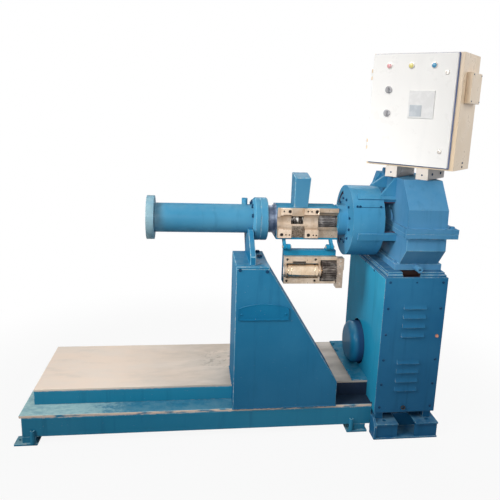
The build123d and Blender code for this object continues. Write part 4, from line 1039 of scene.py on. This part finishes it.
# Studio: a pale floor, a white backdrop, a soft box high on the left, wide ones
# on the right and behind, a narrow one in front, and the camera at the
# photograph's viewing angle.
floor_half, floor_drop = 9, 0.8
floor_bm = bmesh.new()
bmesh.ops.create_grid(floor_bm, x_segments=8, y_segments=8, size=floor_half)
bmesh.ops.translate(floor_bm, verts=floor_bm.verts, vec=down * floor_drop * mm)
floor_mesh = shape("studio_floor", floor_bm)
floor = bpy.data.objects.new("studio_floor", floor_mesh)
bpy.context.scene.collection.objects.link(floor)
floor_grey, floor_pale, white_light = (0.36, 0.36, 0.36, 1), (0.4, 0.4, 0.398, 1), (1, 1, 1, 1)
glow_starts, glow_full = 1.2, 2.2


def seen(tree):
    """A mask that is 1 for the camera, also by way of a mirror or glass, and 0 for lit surfaces."""
    path = put(tree, "ShaderNodeLightPath").outputs
    return sum_up(tree, "ADD", path["Is Camera Ray"], path["Is Glossy Ray"], path["Is Transmission Ray"])


floor_paint = bpy.data.materials.new("floor_paint")
floor_paint.use_nodes = True
floor_mesh.materials.append(floor_paint)
tree = floor_paint.node_tree
shade = tree.nodes["Principled BSDF"]
shade.inputs["Roughness"].default_value = 0.85
where = place_on(tree)[0]
mottle = over(tree, grain(tree, where, 5, 3), floor_grey, floor_pale)
tree.links.new(mottle, shade.inputs["Base Color"])
glow = put(tree, "ShaderNodeEmission", {"Color": white_light, "Strength": 1.0}).outputs[0]
outer = fade(tree, far_from(tree, where, (0, 0, 0)), glow_starts, glow_full, 0.92, 1.0)
share = times(tree, seen(tree), outer)
blend = put(tree, "ShaderNodeMixShader", {0: share, 1: shade.outputs[0], 2: glow}).outputs[0]
tree.links.new(blend, tree.nodes["Material Output"].inputs["Surface"])

world = bpy.data.worlds.new("studio")
bpy.context.scene.world = world
world.use_nodes = True
tree = world.node_tree
ambient = tree.nodes["Background"]
ambient.inputs["Color"].default_value = (0.96, 0.98, 1.0, 1)
ambient.inputs["Strength"].default_value = 0.26
backdrop = put(tree, "ShaderNodeBackground", {"Color": white_light, "Strength": 1.0}).outputs[0]
blend = put(tree, "ShaderNodeMixShader", {0: seen(tree), 1: ambient.outputs[0], 2: backdrop}).outputs[0]
tree.links.new(blend, tree.nodes["World Output"].inputs["Surface"])


def lamp(name, at, target, size, power, tint, spread=180):
    """A square soft box aimed at a point, with a grid that narrows its beam."""
    data = bpy.data.lights.new(name, "AREA")
    data.size = size
    data.energy = power
    data.color = tint
    data.spread = math.radians(spread)
    box = bpy.data.objects.new(name, data)
    bpy.context.scene.collection.objects.link(box)
    box.location = at
    box.rotation_euler = (Vector(target) - Vector(at)).to_track_quat("-Z", "Y").to_euler()


lamp("soft_box_left", (-2.5, -1.5, 2.6), (-0.2, 0, 0.72), 1.6, 20.5, (1.0, 0.98, 0.95), 70)
lamp("soft_box_front", (-0.6, -2.8, 2.0), (0.3, -0.1, 1.0), 1.0, 3.3, (1.0, 0.98, 0.96), 44)
lamp("soft_box_right", (2.4, -1.2, 2.6), (0.5, 0, 0.9), 1.4, 20, (1.0, 1.0, 1.0))
lamp("soft_box_back", (1.2, 3.2, 2.8), (0.1, 0, 0.8), 2.0, 60, (1.0, 1.0, 1.0))

photo_width, focal_pixels, sensor_width = 500, 555.94, 36
camera_place = Vector((-0.249778, -2.625554, 1.517616))
camera_turn, camera_pitch, camera_roll = -0.1485005, 0.2197501, 0.042431
camera_data = bpy.data.cameras.new("camera")
camera_data.sensor_width = sensor_width
camera_data.lens = focal_pixels / photo_width * sensor_width
camera_data.shift_x, camera_data.shift_y = -0.0485, -0.0281
camera = bpy.data.objects.new("camera", camera_data)
bpy.context.scene.collection.objects.link(camera)
bpy.context.scene.camera = camera
camera.matrix_world = (Matrix.Translation(camera_place) @ Matrix.Rotation(camera_turn, 4, "Z")
                       @ Matrix.Rotation(math.pi / 2 - camera_pitch, 4, "X")
                       @ Matrix.Rotation(camera_roll, 4, "Z"))

bpy.context.scene.view_settings.view_transform = "Standard"
